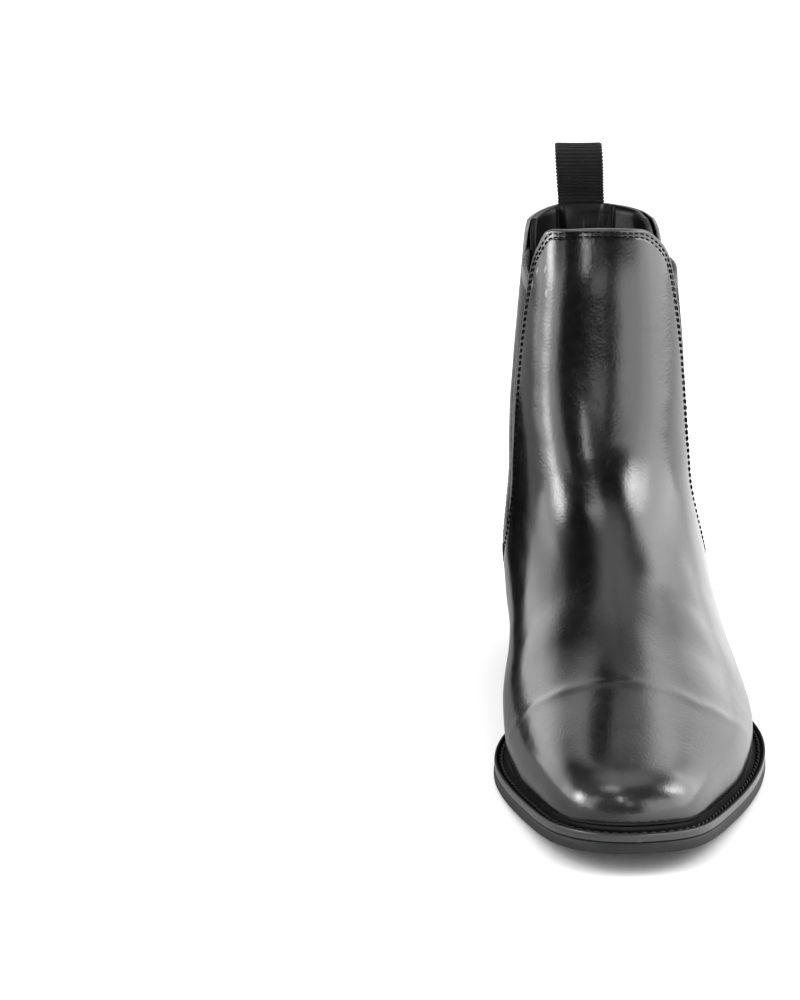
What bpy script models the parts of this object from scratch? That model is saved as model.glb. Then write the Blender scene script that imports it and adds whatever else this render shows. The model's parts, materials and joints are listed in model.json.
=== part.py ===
# Chelsea boot: leather upper with elastic gores, lining, welted sole, nailed heel and pull tab.
# Toe towards -Y, lateral side +X, medial side -X, the ground at z = 0.
# The shape is worked out in millimetres in the last's own frame; solid() moves the middle of
# the outsole's box to the origin in plan and converts to metres.
import bpy
import bmesh
import math
import numpy as np

for old in list(bpy.data.objects):
    bpy.data.objects.remove(old, do_unlink=True)

# =====================================================================
# Driving dimensions, millimetres
# =====================================================================
MM = 0.001
SHIFT_X, SHIFT_Y = -3.25, 5.25    # from the last's frame to the scene
GAP = 0.3                     # clearance between neighbouring pieces

LEATHER = 1.5                 # upper leather
MIDDLE = 1.5                  # elastic, and the room for toe puff and heel counter
LINING = 1.0                  # lining leather
MIDDLE_DEPTH = LEATHER + 0.5  # depths below the outer form
LINING_DEPTH = MIDDLE_DEPTH + MIDDLE + 0.8
LINING_BACK = LINING_DEPTH + LINING
GRIP_DEPTH = LINING_BACK + 0.5
GRIP_T = 1.2

TOE_SPRING = 9.5              # lift of the toe tip
Y_TOE = -150.0                # toe tip of the outsole
Y_CONTACT = -42.0             # where the forefoot leaves the ground
HEEL = 18.5                   # height of the heel under the outsole
Y_RISE = -22.0                # start of the waist's rise
Y_BREAST = 64.0               # front face of the heel

OUTSOLE_T = 4.6
WELT_T = 3.4
SOLE_T = OUTSOLE_T + GAP + WELT_T
# Heights above the underside of the outsole
WELT_BASE = OUTSOLE_T + GAP + 0.1
WELT_TOP = WELT_BASE + WELT_T - 0.2
BOARD_BASE = SOLE_T + GAP
WELT_INSET = 12.0             # inner edge of the welt, in from the sole's outline

TOP_LIFT_T = 5.6
NAIL_R = 1.2
BORE_R = 1.5

# Outlines in plan (x, y): from the toe along the lateral side, back along the medial side.
# Edge of the outsole:
SOLE = [
    (-5.5, Y_TOE), (8.6, -147.9), (22.4, -140.4), (34.0, -117.9), (44.4, -91.3),
    (53.9, -61.8), (58.0, -33), (54.5, -9), (44.5, 9), (37, 36), (33.8, 70), (32.6, 100),
    (28, 122), (16.5, 135.5), (0, 139.5), (-16.5, 135.5), (-27.5, 121), (-30.5, 98),
    (-28.4, 68), (-29.3, 34), (-36.5, 2), (-47.5, -28), (-51.2, -55), (-47.1, -83.4),
    (-40.0, -110.9), (-31.4, -134.6), (-18.8, -146.6)]
# Widest reach of the upper above the sole:
WIDE = [
    (-5.5, -144.2), (8.5, -141.7), (20.5, -134), (33, -112), (45.5, -87), (55.5, -60),
    (60.5, -36), (56.8, -8), (48, 16), (40, 38), (35, 64), (32.0, 93), (27.5, 115),
    (16.5, 129), (0, 133.6), (-16.3, 129), (-27.0, 114), (-31.5, 91), (-33.6, 64),
    (-37.0, 36), (-42, 6), (-48, -24), (-50.3, -54), (-46.5, -84), (-38.5, -113),
    (-29, -131.5), (-17, -141.3)]


# =====================================================================
# Smooth curves
# =====================================================================
def hermite(t, start, end, start_slope, end_slope):
    return ((1 + 2 * t) * (1 - t) ** 2 * start + t * (1 - t) ** 2 * start_slope
            + t ** 2 * (3 - 2 * t) * end + t ** 2 * (t - 1) * end_slope)


def monotone(points):
    """Smooth monotone function through (station, value) points, straight beyond them."""
    xs, ys = np.array(points, float).T
    step = np.diff(xs)
    rise = np.diff(ys) / step
    slope = np.zeros(len(xs))
    for i in range(1, len(xs) - 1):
        if rise[i - 1] * rise[i] > 0:
            before = 2 * step[i] + step[i - 1]
            after = step[i] + 2 * step[i - 1]
            slope[i] = (before + after) / (before / rise[i - 1] + after / rise[i])
    slope[0] = rise[0]
    slope[-1] = rise[-1]

    def value(x):
        x = np.asarray(x, float)
        i = np.clip(np.searchsorted(xs, x) - 1, 0, len(xs) - 2)
        t = (x - xs[i]) / step[i]
        result = hermite(np.clip(t, 0, 1), ys[i], ys[i + 1],
                         step[i] * slope[i], step[i] * slope[i + 1])
        result = np.where(t < 0, ys[0] + (x - xs[0]) * slope[0], result)
        return np.where(t > 1, ys[-1] + (x - xs[-1]) * slope[-1], result)
    return value


def resample(line, fractions, scale=1.0):
    """Places at fractions of a line's length; scale weighs the columns in that length."""
    steps = np.linalg.norm(np.diff(line, axis=0) * scale, axis=1)
    length = np.r_[0, np.cumsum(steps)]
    return np.stack([np.interp(fractions * length[-1], length, column) for column in line.T], 1)


def closed_spline(points, count):
    """Closed cubic spline through points; count evenly spaced places, the first at points[0]."""
    points = np.asarray(points, float)
    total = len(points)
    closed = np.vstack([points, points[:1]])
    chord = np.linalg.norm(np.diff(closed, axis=0), axis=1)
    knots = np.r_[0, np.cumsum(np.sqrt(chord))]
    step = np.diff(knots)
    matrix = np.zeros((total, total))
    target = np.zeros((total, 2))
    for i in range(total):
        j = (i + 1) % total
        matrix[i, i - 1] += step[i]
        matrix[i, i] += 2 * (step[i - 1] + step[i])
        matrix[i, j] += step[i - 1]
        target[i] = 3 * (step[i] * (points[i] - points[i - 1]) / step[i - 1]
                         + step[i - 1] * (points[j] - points[i]) / step[i])
    slopes = np.linalg.solve(matrix, target)
    u = np.linspace(0, knots[-1], 3001)[:-1]
    i = np.clip(np.searchsorted(knots, u, side='right') - 1, 0, total - 1)
    j = (i + 1) % total
    t = ((u - knots[i]) / step[i])[:, None]
    span = step[i][:, None]
    dense = hermite(t, points[i], points[j], span * slopes[i], span * slopes[j])
    dense = np.vstack([dense, dense[:1]])
    return resample(dense, np.linspace(0, 1, count + 1)[:-1])


def inset(outline, distance):
    """Closed outline (toe first, lateral side next) moved inwards, by one or many distances."""
    tangent = np.roll(outline, -1, 0) - np.roll(outline, 1, 0)
    tangent /= np.linalg.norm(tangent, axis=1)[:, None]
    outward = np.stack([tangent[:, 1], -tangent[:, 0]], 1)
    return outline - outward * np.reshape(distance, (-1, 1))


def split_sides(line):
    """Closed line cut in two: lateral half front to back, medial half back to front."""
    front = int(np.argmin(line[:, 1]))
    back = int(np.argmax(line[:, 1]))
    turned = np.roll(line, -front, 0)
    middle = (back - front) % len(line)
    return turned[:middle + 1], np.vstack([turned[middle:], turned[:1]])


def x_at(side, y):
    """x of half an outline at stations y."""
    sign = np.sign(side[-1, 1] - side[0, 1])
    # the tiny ramp keeps the stations strictly increasing
    run = np.maximum.accumulate(sign * side[:, 1]) + np.arange(len(side)) * 1e-9
    return np.interp(sign * y, run, side[:, 0])


def ease(t):
    t = np.clip(t, 0, 1)
    return t * t * (3 - 2 * t)


def smooth_min(a, b, blend):
    h = np.clip(0.5 + 0.5 * (b - a) / blend, 0, 1)
    return b + (a - b) * h - blend * h * (1 - h)


def smooth_max(a, b, blend):
    return -smooth_min(-a, -b, blend)


def cubic_weights(t):
    """Catmull-Rom weights of four neighbouring places."""
    return (-0.5 * t + t * t - 0.5 * t ** 3, 1 - 2.5 * t * t + 1.5 * t ** 3,
            0.5 * t + 2 * t * t - 1.5 * t ** 3, -0.5 * t * t + 0.5 * t ** 3)


def smooth_line(points, count=40):
    """Open Catmull-Rom curve through points, in about count places."""
    points = np.asarray(points, float)
    ends = np.vstack([2 * points[0] - points[1], points, 2 * points[-1] - points[-2]])
    spans = len(points) - 1
    pieces = []
    for i in range(spans):
        t = np.linspace(0, 1, count // spans, endpoint=(i == spans - 1))
        weights = cubic_weights(t[:, None])
        pieces.append(sum(weights[j] * ends[i + j] for j in range(4)))
    return np.vstack(pieces)


# =====================================================================
# The last: bottom heights, plan outlines and the outer form of the upper
# =====================================================================
def z_bottom(y):
    """Underside of the outsole."""
    y = np.asarray(y, float)
    z = TOE_SPRING * np.clip((Y_CONTACT - y) / (Y_CONTACT - Y_TOE), 0, 1.2) ** 2
    return z + HEEL * ease((y - Y_RISE) / (Y_BREAST + 8 - Y_RISE))


def z_feather(y):
    """Feather edge, where the upper meets the sole."""
    return z_bottom(y) + SOLE_T + 1.2


def feather_inset(y):
    """How far the feather edge lies inside the sole's outline; least at the waist and heel."""
    front = 1.9 * ease((y + 149) / 14) * ease((-58 - y) / 34)
    return 7.2 - 1.0 * ease((y + 110) / 60) - 1.7 * ease(y / 50) - front


sole_ring = closed_spline(SOLE, 360)
wide_ring = closed_spline(WIDE, 360)
feather_ring = inset(sole_ring, feather_inset(sole_ring[:, 1]))

FIELD_X = np.arange(-80.0, 81.0, 1.0)
FIELD_Y = np.arange(-172.0, 165.0, 1.0)
BLUR_REACH = 7
BLUR_WIDTH = 2.2


def distance_field(outline):
    """Signed plan distance to an outline on a 1 mm grid, softened so that it has no creases."""
    grid_x, grid_y = np.meshgrid(FIELD_X, FIELD_Y, indexing='ij')
    flat_x, flat_y = grid_x.ravel(), grid_y.ravel()
    a, b = outline, np.roll(outline, -1, axis=0)
    edge = b - a
    length2 = (edge ** 2).sum(1) + 1e-12
    edge_y = np.where(np.abs(edge[:, 1]) < 1e-12, 1e-12, edge[:, 1])
    signed = np.empty(flat_x.shape)
    chunk = 6000                  # places at a time, to bound the memory used
    for i in range(0, len(flat_x), chunk):
        x, y = flat_x[i:i + chunk, None], flat_y[i:i + chunk, None]
        t = np.clip(((x - a[:, 0]) * edge[:, 0] + (y - a[:, 1]) * edge[:, 1]) / length2, 0, 1)
        near_x = x - a[:, 0] - t * edge[:, 0]
        near_y = y - a[:, 1] - t * edge[:, 1]
        distance = np.sqrt((near_x ** 2 + near_y ** 2).min(1))
        spans = (a[:, 1] > y) != (b[:, 1] > y)
        crossed = spans & (x < edge[:, 0] * (y - a[:, 1]) / edge_y + a[:, 0])
        signed[i:i + chunk] = np.where(crossed.sum(1) % 2 == 1, -distance, distance)
    field = signed.reshape(grid_x.shape)
    kernel = np.exp(-0.5 * (np.arange(-BLUR_REACH, BLUR_REACH + 1) / BLUR_WIDTH) ** 2)
    kernel /= kernel.sum()

    def blur(row):
        padded = np.pad(row, BLUR_REACH, mode='reflect', reflect_type='odd')
        return np.convolve(padded, kernel, mode='valid')

    for axis in (0, 1):
        field = np.apply_along_axis(blur, axis, field)
    return field


wide_field = distance_field(wide_ring)
feather_field = distance_field(feather_ring)


def look_up(field, x, y):
    """Cubic interpolation in a distance field."""
    u = np.clip(x - FIELD_X[0], 1, len(FIELD_X) - 3.001)
    v = np.clip(y - FIELD_Y[0], 1, len(FIELD_Y) - 3.001)
    i, j = u.astype(int), v.astype(int)
    weights_u, weights_v = cubic_weights(u - i), cubic_weights(v - j)
    total = 0.0
    for p in range(4):
        row = 0.0
        for q in range(4):
            row = row + weights_v[q] * field[i - 1 + p, j - 1 + q]
        total = total + weights_u[p] * row
    return total


# Foot, by y: height, x and cross radius of the ridge, radius at which the walls lean
# inwards, and rounding between wall and top
ridge_z = monotone([
    (-152, 6), (-149, 15), (-146, 21.5), (-141, 29.0), (-134, 34), (-122, 38.6), (-108, 42.8),
    (-79, 51.3), (-49, 62.3), (-23, 76.0), (0, 88), (20, 94), (45, 96), (80, 92), (137, 80)])
ridge_x = monotone([
    (-150, -5.5), (-110, -3.0), (-60, 0.5), (-20, -2.0), (20, -5.0), (60, -3.0), (100, -1),
    (137, 0)])
ridge_radius = monotone([
    (-150, 62), (-120, 52), (-80, 44), (-40, 34), (0, 28), (40, 30), (137, 40)])
lean_radius = monotone([(-150, 30), (-100, 34), (-40, 44), (0, 60), (40, 90), (137, 120)])
top_blend = monotone([(-150, 9), (-130, 13), (-90, 20), (0, 24), (137, 24)])

# Shaft, by z: y of its front and back, half width and x of its middle
shaft_front = monotone([
    (30, -14), (60, -8), (80, -3), (98, 4), (117, 13), (139, 21.5), (165, 28.5), (182, 33),
    (200, 40), (215, 46)])
shaft_back = monotone([
    (20, 129), (40, 131.0), (55, 131.0), (70, 129.5), (90, 126.5), (110, 124.4), (130, 124),
    (160, 125.3), (191, 127.5), (215, 130)])
shaft_width = monotone([
    (40, 34.5), (66, 38.0), (82, 38.4), (98, 38.2), (112, 37.7), (130, 36.8), (146, 35.8),
    (162, 34.5), (178, 33.2), (200, 31.6), (215, 30.8)])
shaft_x = monotone([(40, -1.0), (66, -2.0), (100, -3.0), (140, -3.1), (178, -3.1), (215, -3.1)])

WALL_HEIGHT = 20.0            # height above the feather edge where the foot is widest
SHAFT_FOOT = 46.0             # the shaft draws in below this height
FOOT_SHAFT_BLEND = 26.0


def shaft(x, y, z):
    """About the signed distance to the shaft: superellipses, bent round the leg."""
    front, back = shaft_front(z), shaft_back(z)
    middle = front + (back - front) * 0.46
    half_y = np.where(y < middle, middle - front, back - middle)
    bend = 0.0019 * (y - middle) ** 2 * ease((z - 60) / 60.0)
    half_x = shaft_width(z)
    power = np.where(y < middle, 2.0 + 0.55 * ease((z - 90) / 60.0), 2.15)
    u = np.abs(x - (shaft_x(z) - bend)) / half_x
    v = np.abs(y - middle) / half_y
    radius = (u ** power + v ** power + 1e-12) ** (1 / power)
    steepness = (np.sqrt((u / half_x) ** 2 + (v / half_y) ** 2)
                 / np.maximum(np.sqrt(u * u + v * v), 1e-9))
    return (radius - 1) / np.maximum(steepness, 1e-4)


def foot(x, y, z):
    """About the signed distance to the foot: side walls closed by a ridged top."""
    wide, feather = look_up(wide_field, x, y), look_up(feather_field, x, y)
    height = z - z_feather(y)
    swell = np.sin(np.pi / 2 * np.clip(height / WALL_HEIGHT, -0.3, 1))
    wall = feather + (wide - feather) * swell
    wall = wall + np.clip(height - WALL_HEIGHT, 0, 200) ** 2 / (2 * lean_radius(y))
    slope = (ridge_z(y + 1) - ridge_z(y - 1)) / 2
    drop = z - ridge_z(y) + (x - ridge_x(y)) ** 2 / (2 * ridge_radius(y))
    top = drop / np.sqrt(1 + np.minimum(slope, 2.5) ** 2)
    return smooth_max(wall, top, top_blend(y))


def form(x, y, z):
    """Outer form of the upper: zero on it, positive outside."""
    leg = shaft(x, y, z)
    leg = np.where(z < SHAFT_FOOT, leg + (SHAFT_FOOT - z) ** 2 / 30., leg)
    return smooth_min(foot(x, y, z), leg, FOOT_SHAFT_BLEND)


PROBE = 0.05                  # step for slopes of the form


def onto_form(points, times, flat=False, limit=6.0):
    """Points moved onto the outer form, at most limit per pass; flat keeps their heights."""
    for _ in range(times):
        x, y, z = points[..., 0], points[..., 1], points[..., 2]
        value = form(x, y, z)
        slope_x = (form(x + PROBE, y, z) - value) / PROBE
        slope_y = (form(x, y + PROBE, z) - value) / PROBE
        slope_z = 0 * slope_x if flat else (form(x, y, z + PROBE) - value) / PROBE
        square = slope_x * slope_x + slope_y * slope_y + slope_z * slope_z + 1e-9
        reach = limit / np.sqrt(square)
        move = np.clip(value / square, -reach, reach)
        points = points - np.stack([slope_x * move, slope_y * move, slope_z * move], -1)
    return points


def top_loop(count=720):
    """Closed line where a tilted plane above the top edges cuts the form, from the front."""
    middle_x, middle_y = -3.0, 84.0
    height, tilt, level_y = 206.0, -0.06, 40
    angle = np.arange(count) / count * 2 * np.pi
    ray_x, ray_y = np.sin(angle), -np.cos(angle)
    radius = np.full(count, 36.0)
    for _ in range(30):
        x, y = middle_x + ray_x * radius, middle_y + ray_y * radius
        z = height + tilt * (y - level_y)
        value = form(x, y, z)
        ahead = form(x + ray_x * PROBE, y + ray_y * PROBE, z + tilt * ray_y * PROBE)
        slope = (ahead - value) / PROBE
        radius = radius - np.clip(value / np.maximum(slope, 0.2), -5, 5)
    y = middle_y + ray_y * radius
    return np.stack([middle_x + ray_x * radius, y, height + tilt * (y - level_y)], 1)


def even_halves(line, count):
    """count places on a closed line: 0 at the front, count/2 at the back, even between."""
    half = count // 2
    return np.vstack([resample(side, np.arange(half) / half) for side in split_sides(line)])


def refine(grid):
    """Grid with a place added between each two, by four-point interpolation."""
    rounds, rows = grid.shape[:2]
    wider = np.empty((2 * rounds, rows, 3))
    wider[0::2] = grid
    wider[1::2] = (9 * (grid + np.roll(grid, -1, 0))
                   - (np.roll(grid, 1, 0) + np.roll(grid, -2, 0))) / 16
    ends = np.concatenate([2 * wider[:, :1] - wider[:, 1:2], wider,
                           2 * wider[:, -1:] - wider[:, -2:-1]], 1)
    finer = np.empty((2 * rounds, 2 * rows - 1, 3))
    finer[:, 0::2] = wider
    finer[:, 1::2] = (9 * (ends[:, 1:-2] + ends[:, 2:-1]) - (ends[:, :-3] + ends[:, 3:])) / 16
    return finer


def upper_grid(around, rows, passes):
    """Even grid of points on the outer form, doubled for each further entry of passes.

    First index round the boot (0 toe, 1/4 lateral, 1/2 back), second from sole to top.
    """
    feather = np.column_stack([feather_ring, z_feather(feather_ring[:, 1])])
    feather = onto_form(feather, 8, flat=True)
    feather[:, 2] = z_feather(feather[:, 1])
    loop = top_loop()
    for level, smoothing in enumerate(passes):
        bottom = even_halves(feather, around * 2 ** level)
        top = even_halves(loop, around * 2 ** level)
        if level == 0:
            t = np.linspace(0, 1, rows + 1)[None, :, None]
            grid = bottom[:, None] * (1 - t) + top[:, None] * t
            for _ in range(25):
                grid[:, 1:-1] = onto_form(grid[:, 1:-1], 1, limit=8.0)
        else:
            grid = refine(grid)
        grid[:, 0], grid[:, -1] = bottom, top
        for _ in range(smoothing):
            core = grid[:, 1:-1]
            mean = (np.roll(core, 1, 0) + np.roll(core, -1, 0) + grid[:, 2:] + grid[:, :-2]) / 4
            grid[:, 1:-1] = onto_form(core + 0.8 * (mean - core), 1)
        grid[:, 1:-1] = onto_form(grid[:, 1:-1], 2)
    return grid


class Surface:
    """Smooth surface through the grid, at places (a, b).

    a runs round the boot (0 to 1), b from the sole (0) to the top (1).
    """

    # values of a searched on each part of the boot
    SEARCH = {
        'lateral': (np.arange(400) + 0.5) / 800,
        'medial': (np.arange(400) + 0.5) / 800 + 0.5,
        'front': np.mod(np.linspace(-0.25, 0.25, 401), 1.0),
        'back': np.linspace(0.25, 0.75, 401),
    }

    def __init__(self, grid):
        self.around, self.rows = grid.shape[0], grid.shape[1] - 1
        low = 2 * grid[:, :1] - grid[:, 1:2]
        high = 2 * grid[:, -1:] - grid[:, -2:-1]
        self.grid = np.concatenate(
            [2 * low - grid[:, :1], low, grid, high, 2 * high - grid[:, -1:]], 1)

    def at(self, a, b):
        u = np.mod(a, 1.0) * self.around
        v = np.clip(b, -0.02, 1.02) * self.rows + 2
        i = np.floor(u).astype(int)
        j = np.clip(np.floor(v).astype(int), 1, self.grid.shape[1] - 3)
        weights_u = cubic_weights((u - i)[..., None])
        weights_v = cubic_weights((v - j)[..., None])
        total = 0.0
        for p in range(4):
            row = 0.0
            for q in range(4):
                row = row + weights_v[q] * self.grid[(i - 1 + p) % self.around, j - 1 + q]
            total = total + weights_u[p] * row
        return total

    def normal(self, a, b):
        step = 0.3 / self.around
        along_a = self.at(a + step, b) - self.at(a - step, b)
        step = 0.3 / self.rows
        along_b = self.at(a, b + step) - self.at(a, b - step)
        normal = np.cross(along_a, along_b)
        return normal / np.linalg.norm(normal, axis=-1, keepdims=True)

    def inner(self, a, b, depth):
        return self.at(a, b) - self.normal(a, b) * depth

    def locate(self, targets, weights, part):
        """(a, b) nearest to each target under axis weights, on one part of the boot."""
        targets = np.asarray(targets, float)
        weights = np.asarray(weights, float)
        grid_a, grid_b = np.meshgrid(self.SEARCH[part], np.linspace(0, 1, 201), indexing='ij')
        points = self.at(grid_a, grid_b).reshape(-1, 3)
        grid_a, grid_b = grid_a.ravel(), grid_b.ravel()
        step = 1e-4
        places = []
        for target in targets:
            nearest = int(np.argmin((((points - target) * weights) ** 2).sum(1)))
            a, b = float(grid_a[nearest]), float(grid_b[nearest])
            for _ in range(8):
                here = self.at(np.array([a, a + step, a]), np.array([b, b, b + step]))
                miss = (here[0] - target) * weights
                slopes = (here[1:] - here[0]) * weights / step
                move = np.linalg.lstsq(slopes.T, miss, rcond=None)[0]
                a -= float(np.clip(move[0], -0.01, 0.01))
                b -= float(np.clip(move[1], -0.01, 0.01))
            places.append((a, b))
        return np.array(places)


PLACE_SCALE = [2.2, 1.0]      # weight of a against b when measuring length in places


def patch(bottom, right, top, left, columns, rows, relax, warp=1.0, gather=1.0):
    """Places on a patch between four lines of places.

    Bottom and top run left to right, left and right run up. warp above 1 crowds the rows
    at the bottom, gather above 1 crowds the columns in the middle.
    """
    across = 2 * np.linspace(0, 1, columns + 1) - 1
    across = 0.5 + 0.5 * np.sign(across) * np.abs(across) ** gather
    up = np.linspace(0, 1, rows + 1) ** warp
    bottom, top = (resample(line, across, PLACE_SCALE) for line in (bottom, top))
    left, right = (resample(line, up, PLACE_SCALE) for line in (left, right))
    s = across[:, None, None]
    t = up[None, :, None]
    places = ((1 - t) * bottom[:, None] + t * top[:, None] + (1 - s) * left[None] + s * right[None]
              - ((1 - s) * (1 - t) * bottom[0] + s * (1 - t) * bottom[-1]
                 + (1 - s) * t * top[0] + s * t * top[-1]))
    for _ in range(relax):
        mean = (places[2:, 1:-1] + places[:-2, 1:-1] + places[1:-1, 2:] + places[1:-1, :-2]) / 4
        places[1:-1, 1:-1] += 0.7 * (mean - places[1:-1, 1:-1])
    return places


# =====================================================================
# Collections, materials and mesh helpers
# =====================================================================
parts = bpy.data.collections.new("chelsea_boot")
cutters = bpy.data.collections.new("cutters")
for collection in (parts, cutters):
    bpy.context.scene.collection.children.link(collection)


def paint(name, colour, roughness, metallic=0.0):
    material = bpy.data.materials.new(name)
    material.use_nodes = True
    inputs = material.node_tree.nodes["Principled BSDF"].inputs
    inputs["Base Color"].default_value = (*colour, 1.0)
    inputs["Roughness"].default_value = roughness
    inputs["Metallic"].default_value = metallic
    return material


calf = paint("black_calf", colour=(0.012, 0.012, 0.013), roughness=0.16)
lining_leather = paint("black_lining", colour=(0.03, 0.03, 0.032), roughness=0.5)
elastic = paint("dark_elastic", colour=(0.035, 0.035, 0.038), roughness=0.85)
webbing = paint("black_webbing", colour=(0.02, 0.02, 0.022), roughness=0.8)
fibre_board = paint("fibre_board", colour=(0.42, 0.33, 0.22), roughness=0.8)
stiffener = paint("stiffener", colour=(0.5, 0.47, 0.4), roughness=0.7)
cork = paint("cork", colour=(0.45, 0.30, 0.17), roughness=0.9)
steel = paint("shank_steel", colour=(0.45, 0.45, 0.47), roughness=0.35, metallic=1.0)
welt_leather = paint("welt_leather", colour=(0.03, 0.03, 0.032), roughness=0.35)
sole_edge = paint("sole_edge", colour=(0.022, 0.022, 0.024), roughness=0.5)
heel_stack = paint("heel_stack", colour=(0.02, 0.02, 0.021), roughness=0.4)
heel_rubber = paint("heel_rubber", colour=(0.03, 0.03, 0.03), roughness=0.7)
brass = paint("nail_brass", colour=(0.7, 0.52, 0.22), roughness=0.35, metallic=1.0)


def solid(name, points, faces, material, origin=(0.0, 0.0, 0.0), smooth=True, collection=parts):
    """Closed mesh from points in the last's frame; origin is in scene metres."""
    points = (np.asarray(points, float) + [SHIFT_X, SHIFT_Y, 0.0]) * MM - np.asarray(origin)
    mesh = bpy.data.meshes.new(name)
    mesh.from_pydata([tuple(p) for p in points], [], [tuple(int(v) for v in f) for f in faces])
    bm = bmesh.new()
    bm.from_mesh(mesh)
    bmesh.ops.remove_doubles(bm, verts=bm.verts, dist=1e-6)
    bmesh.ops.recalc_face_normals(bm, faces=bm.faces)
    bm.to_mesh(mesh)
    bm.free()
    mesh.materials.append(material)
    for polygon in mesh.polygons:
        polygon.use_smooth = smooth
    ob = bpy.data.objects.new(name, mesh)
    ob.location = origin
    collection.objects.link(ob)
    return ob


def sheet(name, places, depth, thickness, material):
    """Skin over a patch of places, starting at a depth below the outer form."""
    columns, rows = places.shape[:2]
    outer, inner = (upper.inner(places[..., 0], places[..., 1], d).reshape(-1, 3)
                    for d in (depth, depth + thickness))
    k = columns * rows
    faces = []
    for i in range(columns - 1):
        for j in range(rows - 1):
            a, b = i * rows + j, (i + 1) * rows + j
            c, d = b + 1, a + 1
            faces.append((a, b, c, d))
            faces.append((k + d, k + c, k + b, k + a))
    rim = [i * rows for i in range(columns)]
    rim += [(columns - 1) * rows + j for j in range(1, rows)]
    rim += [i * rows + rows - 1 for i in range(columns - 2, -1, -1)]
    rim += list(range(rows - 2, 0, -1))
    for p, q in zip(rim, rim[1:] + rim[:1]):
        faces.append((q, p, k + p, k + q))
    return solid(name, np.vstack([outer, inner]), faces, material)


def wall_faces(count, levels, closed=False):
    """Quads between stacked outlines of count places; closed joins the last to the first."""
    faces = []
    for low in range(levels if closed else levels - 1):
        base, above = low * count, (low + 1) % levels * count
        for i in range(count):
            j = (i + 1) % count
            faces.append((base + i, base + j, above + j, above + i))
    return faces


def slab(name, levels, material):
    """Stack of outlines, capped by ladders across so that the caps follow the bottom's bend."""
    n = len(levels[0])
    faces = wall_faces(n, len(levels))
    for base, turn in ((0, -1), ((len(levels) - 1) * n, 1)):
        for i in range(1, n // 2 + 1):
            corners = [base + i - 1, base + i, base + (n - i) % n, base + (n - i + 1) % n]
            corners = list(dict.fromkeys(corners))
            if len(corners) > 2:
                faces.append(corners[::turn])
    return solid(name, np.vstack(levels), faces, material)


def band(name, rings, material):
    """Closed strip: each ring is the run of one corner of its section."""
    faces = wall_faces(len(rings[0]), len(rings), closed=True)
    return solid(name, np.vstack(rings), faces, material)


def prism(name, levels, material):
    """Stack of outlines, capped by fans from their middles."""
    n = len(levels[0])
    points = np.vstack([*levels, levels[0].mean(0), levels[-1].mean(0)])
    faces = wall_faces(n, len(levels))
    k = len(levels) * n
    for i in range(n):
        j = (i + 1) % n
        faces.append((j, i, k))
        faces.append((k - n + i, k - n + j, k + 1))
    return solid(name, points, faces, material)


def strip(name, y, medial_x, lateral_x, base, top, material):
    """Bar along stations y, between two heights above the underside of the outsole."""
    n = len(y)
    corners = ((medial_x, base), (lateral_x, base), (lateral_x, top), (medial_x, top))
    points = np.vstack([np.column_stack([x, y, z_bottom(y) + rise]) for x, rise in corners])
    faces = []
    for i in range(n - 1):
        for a, b in ((0, 1), (1, 2), (2, 3), (3, 0)):
            faces.append((a * n + i, b * n + i, b * n + i + 1, a * n + i + 1))
    faces.append((0, 3 * n, 2 * n, n))
    faces.append((n - 1, 2 * n - 1, 3 * n - 1, 4 * n - 1))
    return solid(name, points, faces, material)


# =====================================================================
# Upper
# =====================================================================
upper = Surface(upper_grid(around=64, rows=32, passes=(60, 16)))

# Lines seen from the side, (y, z), the same on both sides of the boot
GORE_POINT = (63.5, 59.5)     # bottom of the gore's opening, top of the side seam
GORE_FRONT = [
    GORE_POINT, (56, 60.4), (50.0, 64.0), (46.4, 71), (45.0, 82), (45.6, 105), (48.2, 138),
    (50.3, 160), (51.0, 176), (50.2, 186), (48.2, 192.5)]
GORE_BACK = [
    GORE_POINT, (71, 61), (77, 66), (81.0, 75), (84, 90), (88.5, 113), (93.5, 138),
    (98.5, 163), (101, 178), (103.5, 185), (107.5, 189.3)]
SEAM = [(66.5, 27), (65.5, 38), (64.5, 49), GORE_POINT]
SEAM_SHIFT = 0.25             # each panel keeps this far from the seam line
# Elastic gores: they run under the leather by their seam allowance
ELASTIC_FRONT = [
    (57, 54.5), (49, 57.0), (42.5, 64.5), (39.6, 75), (38.8, 90), (39.4, 108), (42.0, 138),
    (44.0, 160), (44.9, 177.2)]
ELASTIC_BACK = [
    (71, 54.8), (79, 59.5), (85.0, 70), (88.2, 85), (92.0, 106), (97.5, 132), (102.5, 156),
    (106.8, 177.2)]
ELASTIC_BASE = [ELASTIC_FRONT[0], (64, 53.6), ELASTIC_BACK[0]]
ELASTIC_TOP = [ELASTIC_FRONT[-1], (60, 176.8), (76, 176.6), (92, 176.8), ELASTIC_BACK[-1]]
# Top edges between the gores, (x, z): vamp medial to lateral, quarter lateral to medial
VAMP_TOP = [(-27, 198.6), (-20, 200.2), (-7, 201.0), (6, 200.4), (14, 198.7)]
QUARTER_TOP = [(17, 190.9), (6, 191.4), (-6, 191.6), (-18, 191.2)]


def side_line(points, side, shift=0.0):
    """Places of a (y, z) line on one side of the boot."""
    line = smooth_line([(y + shift, z) for y, z in points])
    return upper.locate(np.column_stack([np.zeros(len(line)), line]), (0.0, 1.0, 1.0), side)


def across_toe(line):
    """Line with its medial places just below a = 0, so that it can run across the toe."""
    line = line.copy()
    line[:, 0] = np.where(line[:, 0] > 0.5, line[:, 0] - 1, line[:, 0])
    return line


def panel_side(gore_edge, side, shift):
    """Side of a panel: up the side seam from the feather edge, then along the gore's edge."""
    seam = side_line(SEAM, side, shift)
    seam[:, 1] -= seam[0, 1] * np.linspace(1, 0, len(seam))
    return np.vstack([seam, side_line(gore_edge, side, shift)[1:]])


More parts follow.
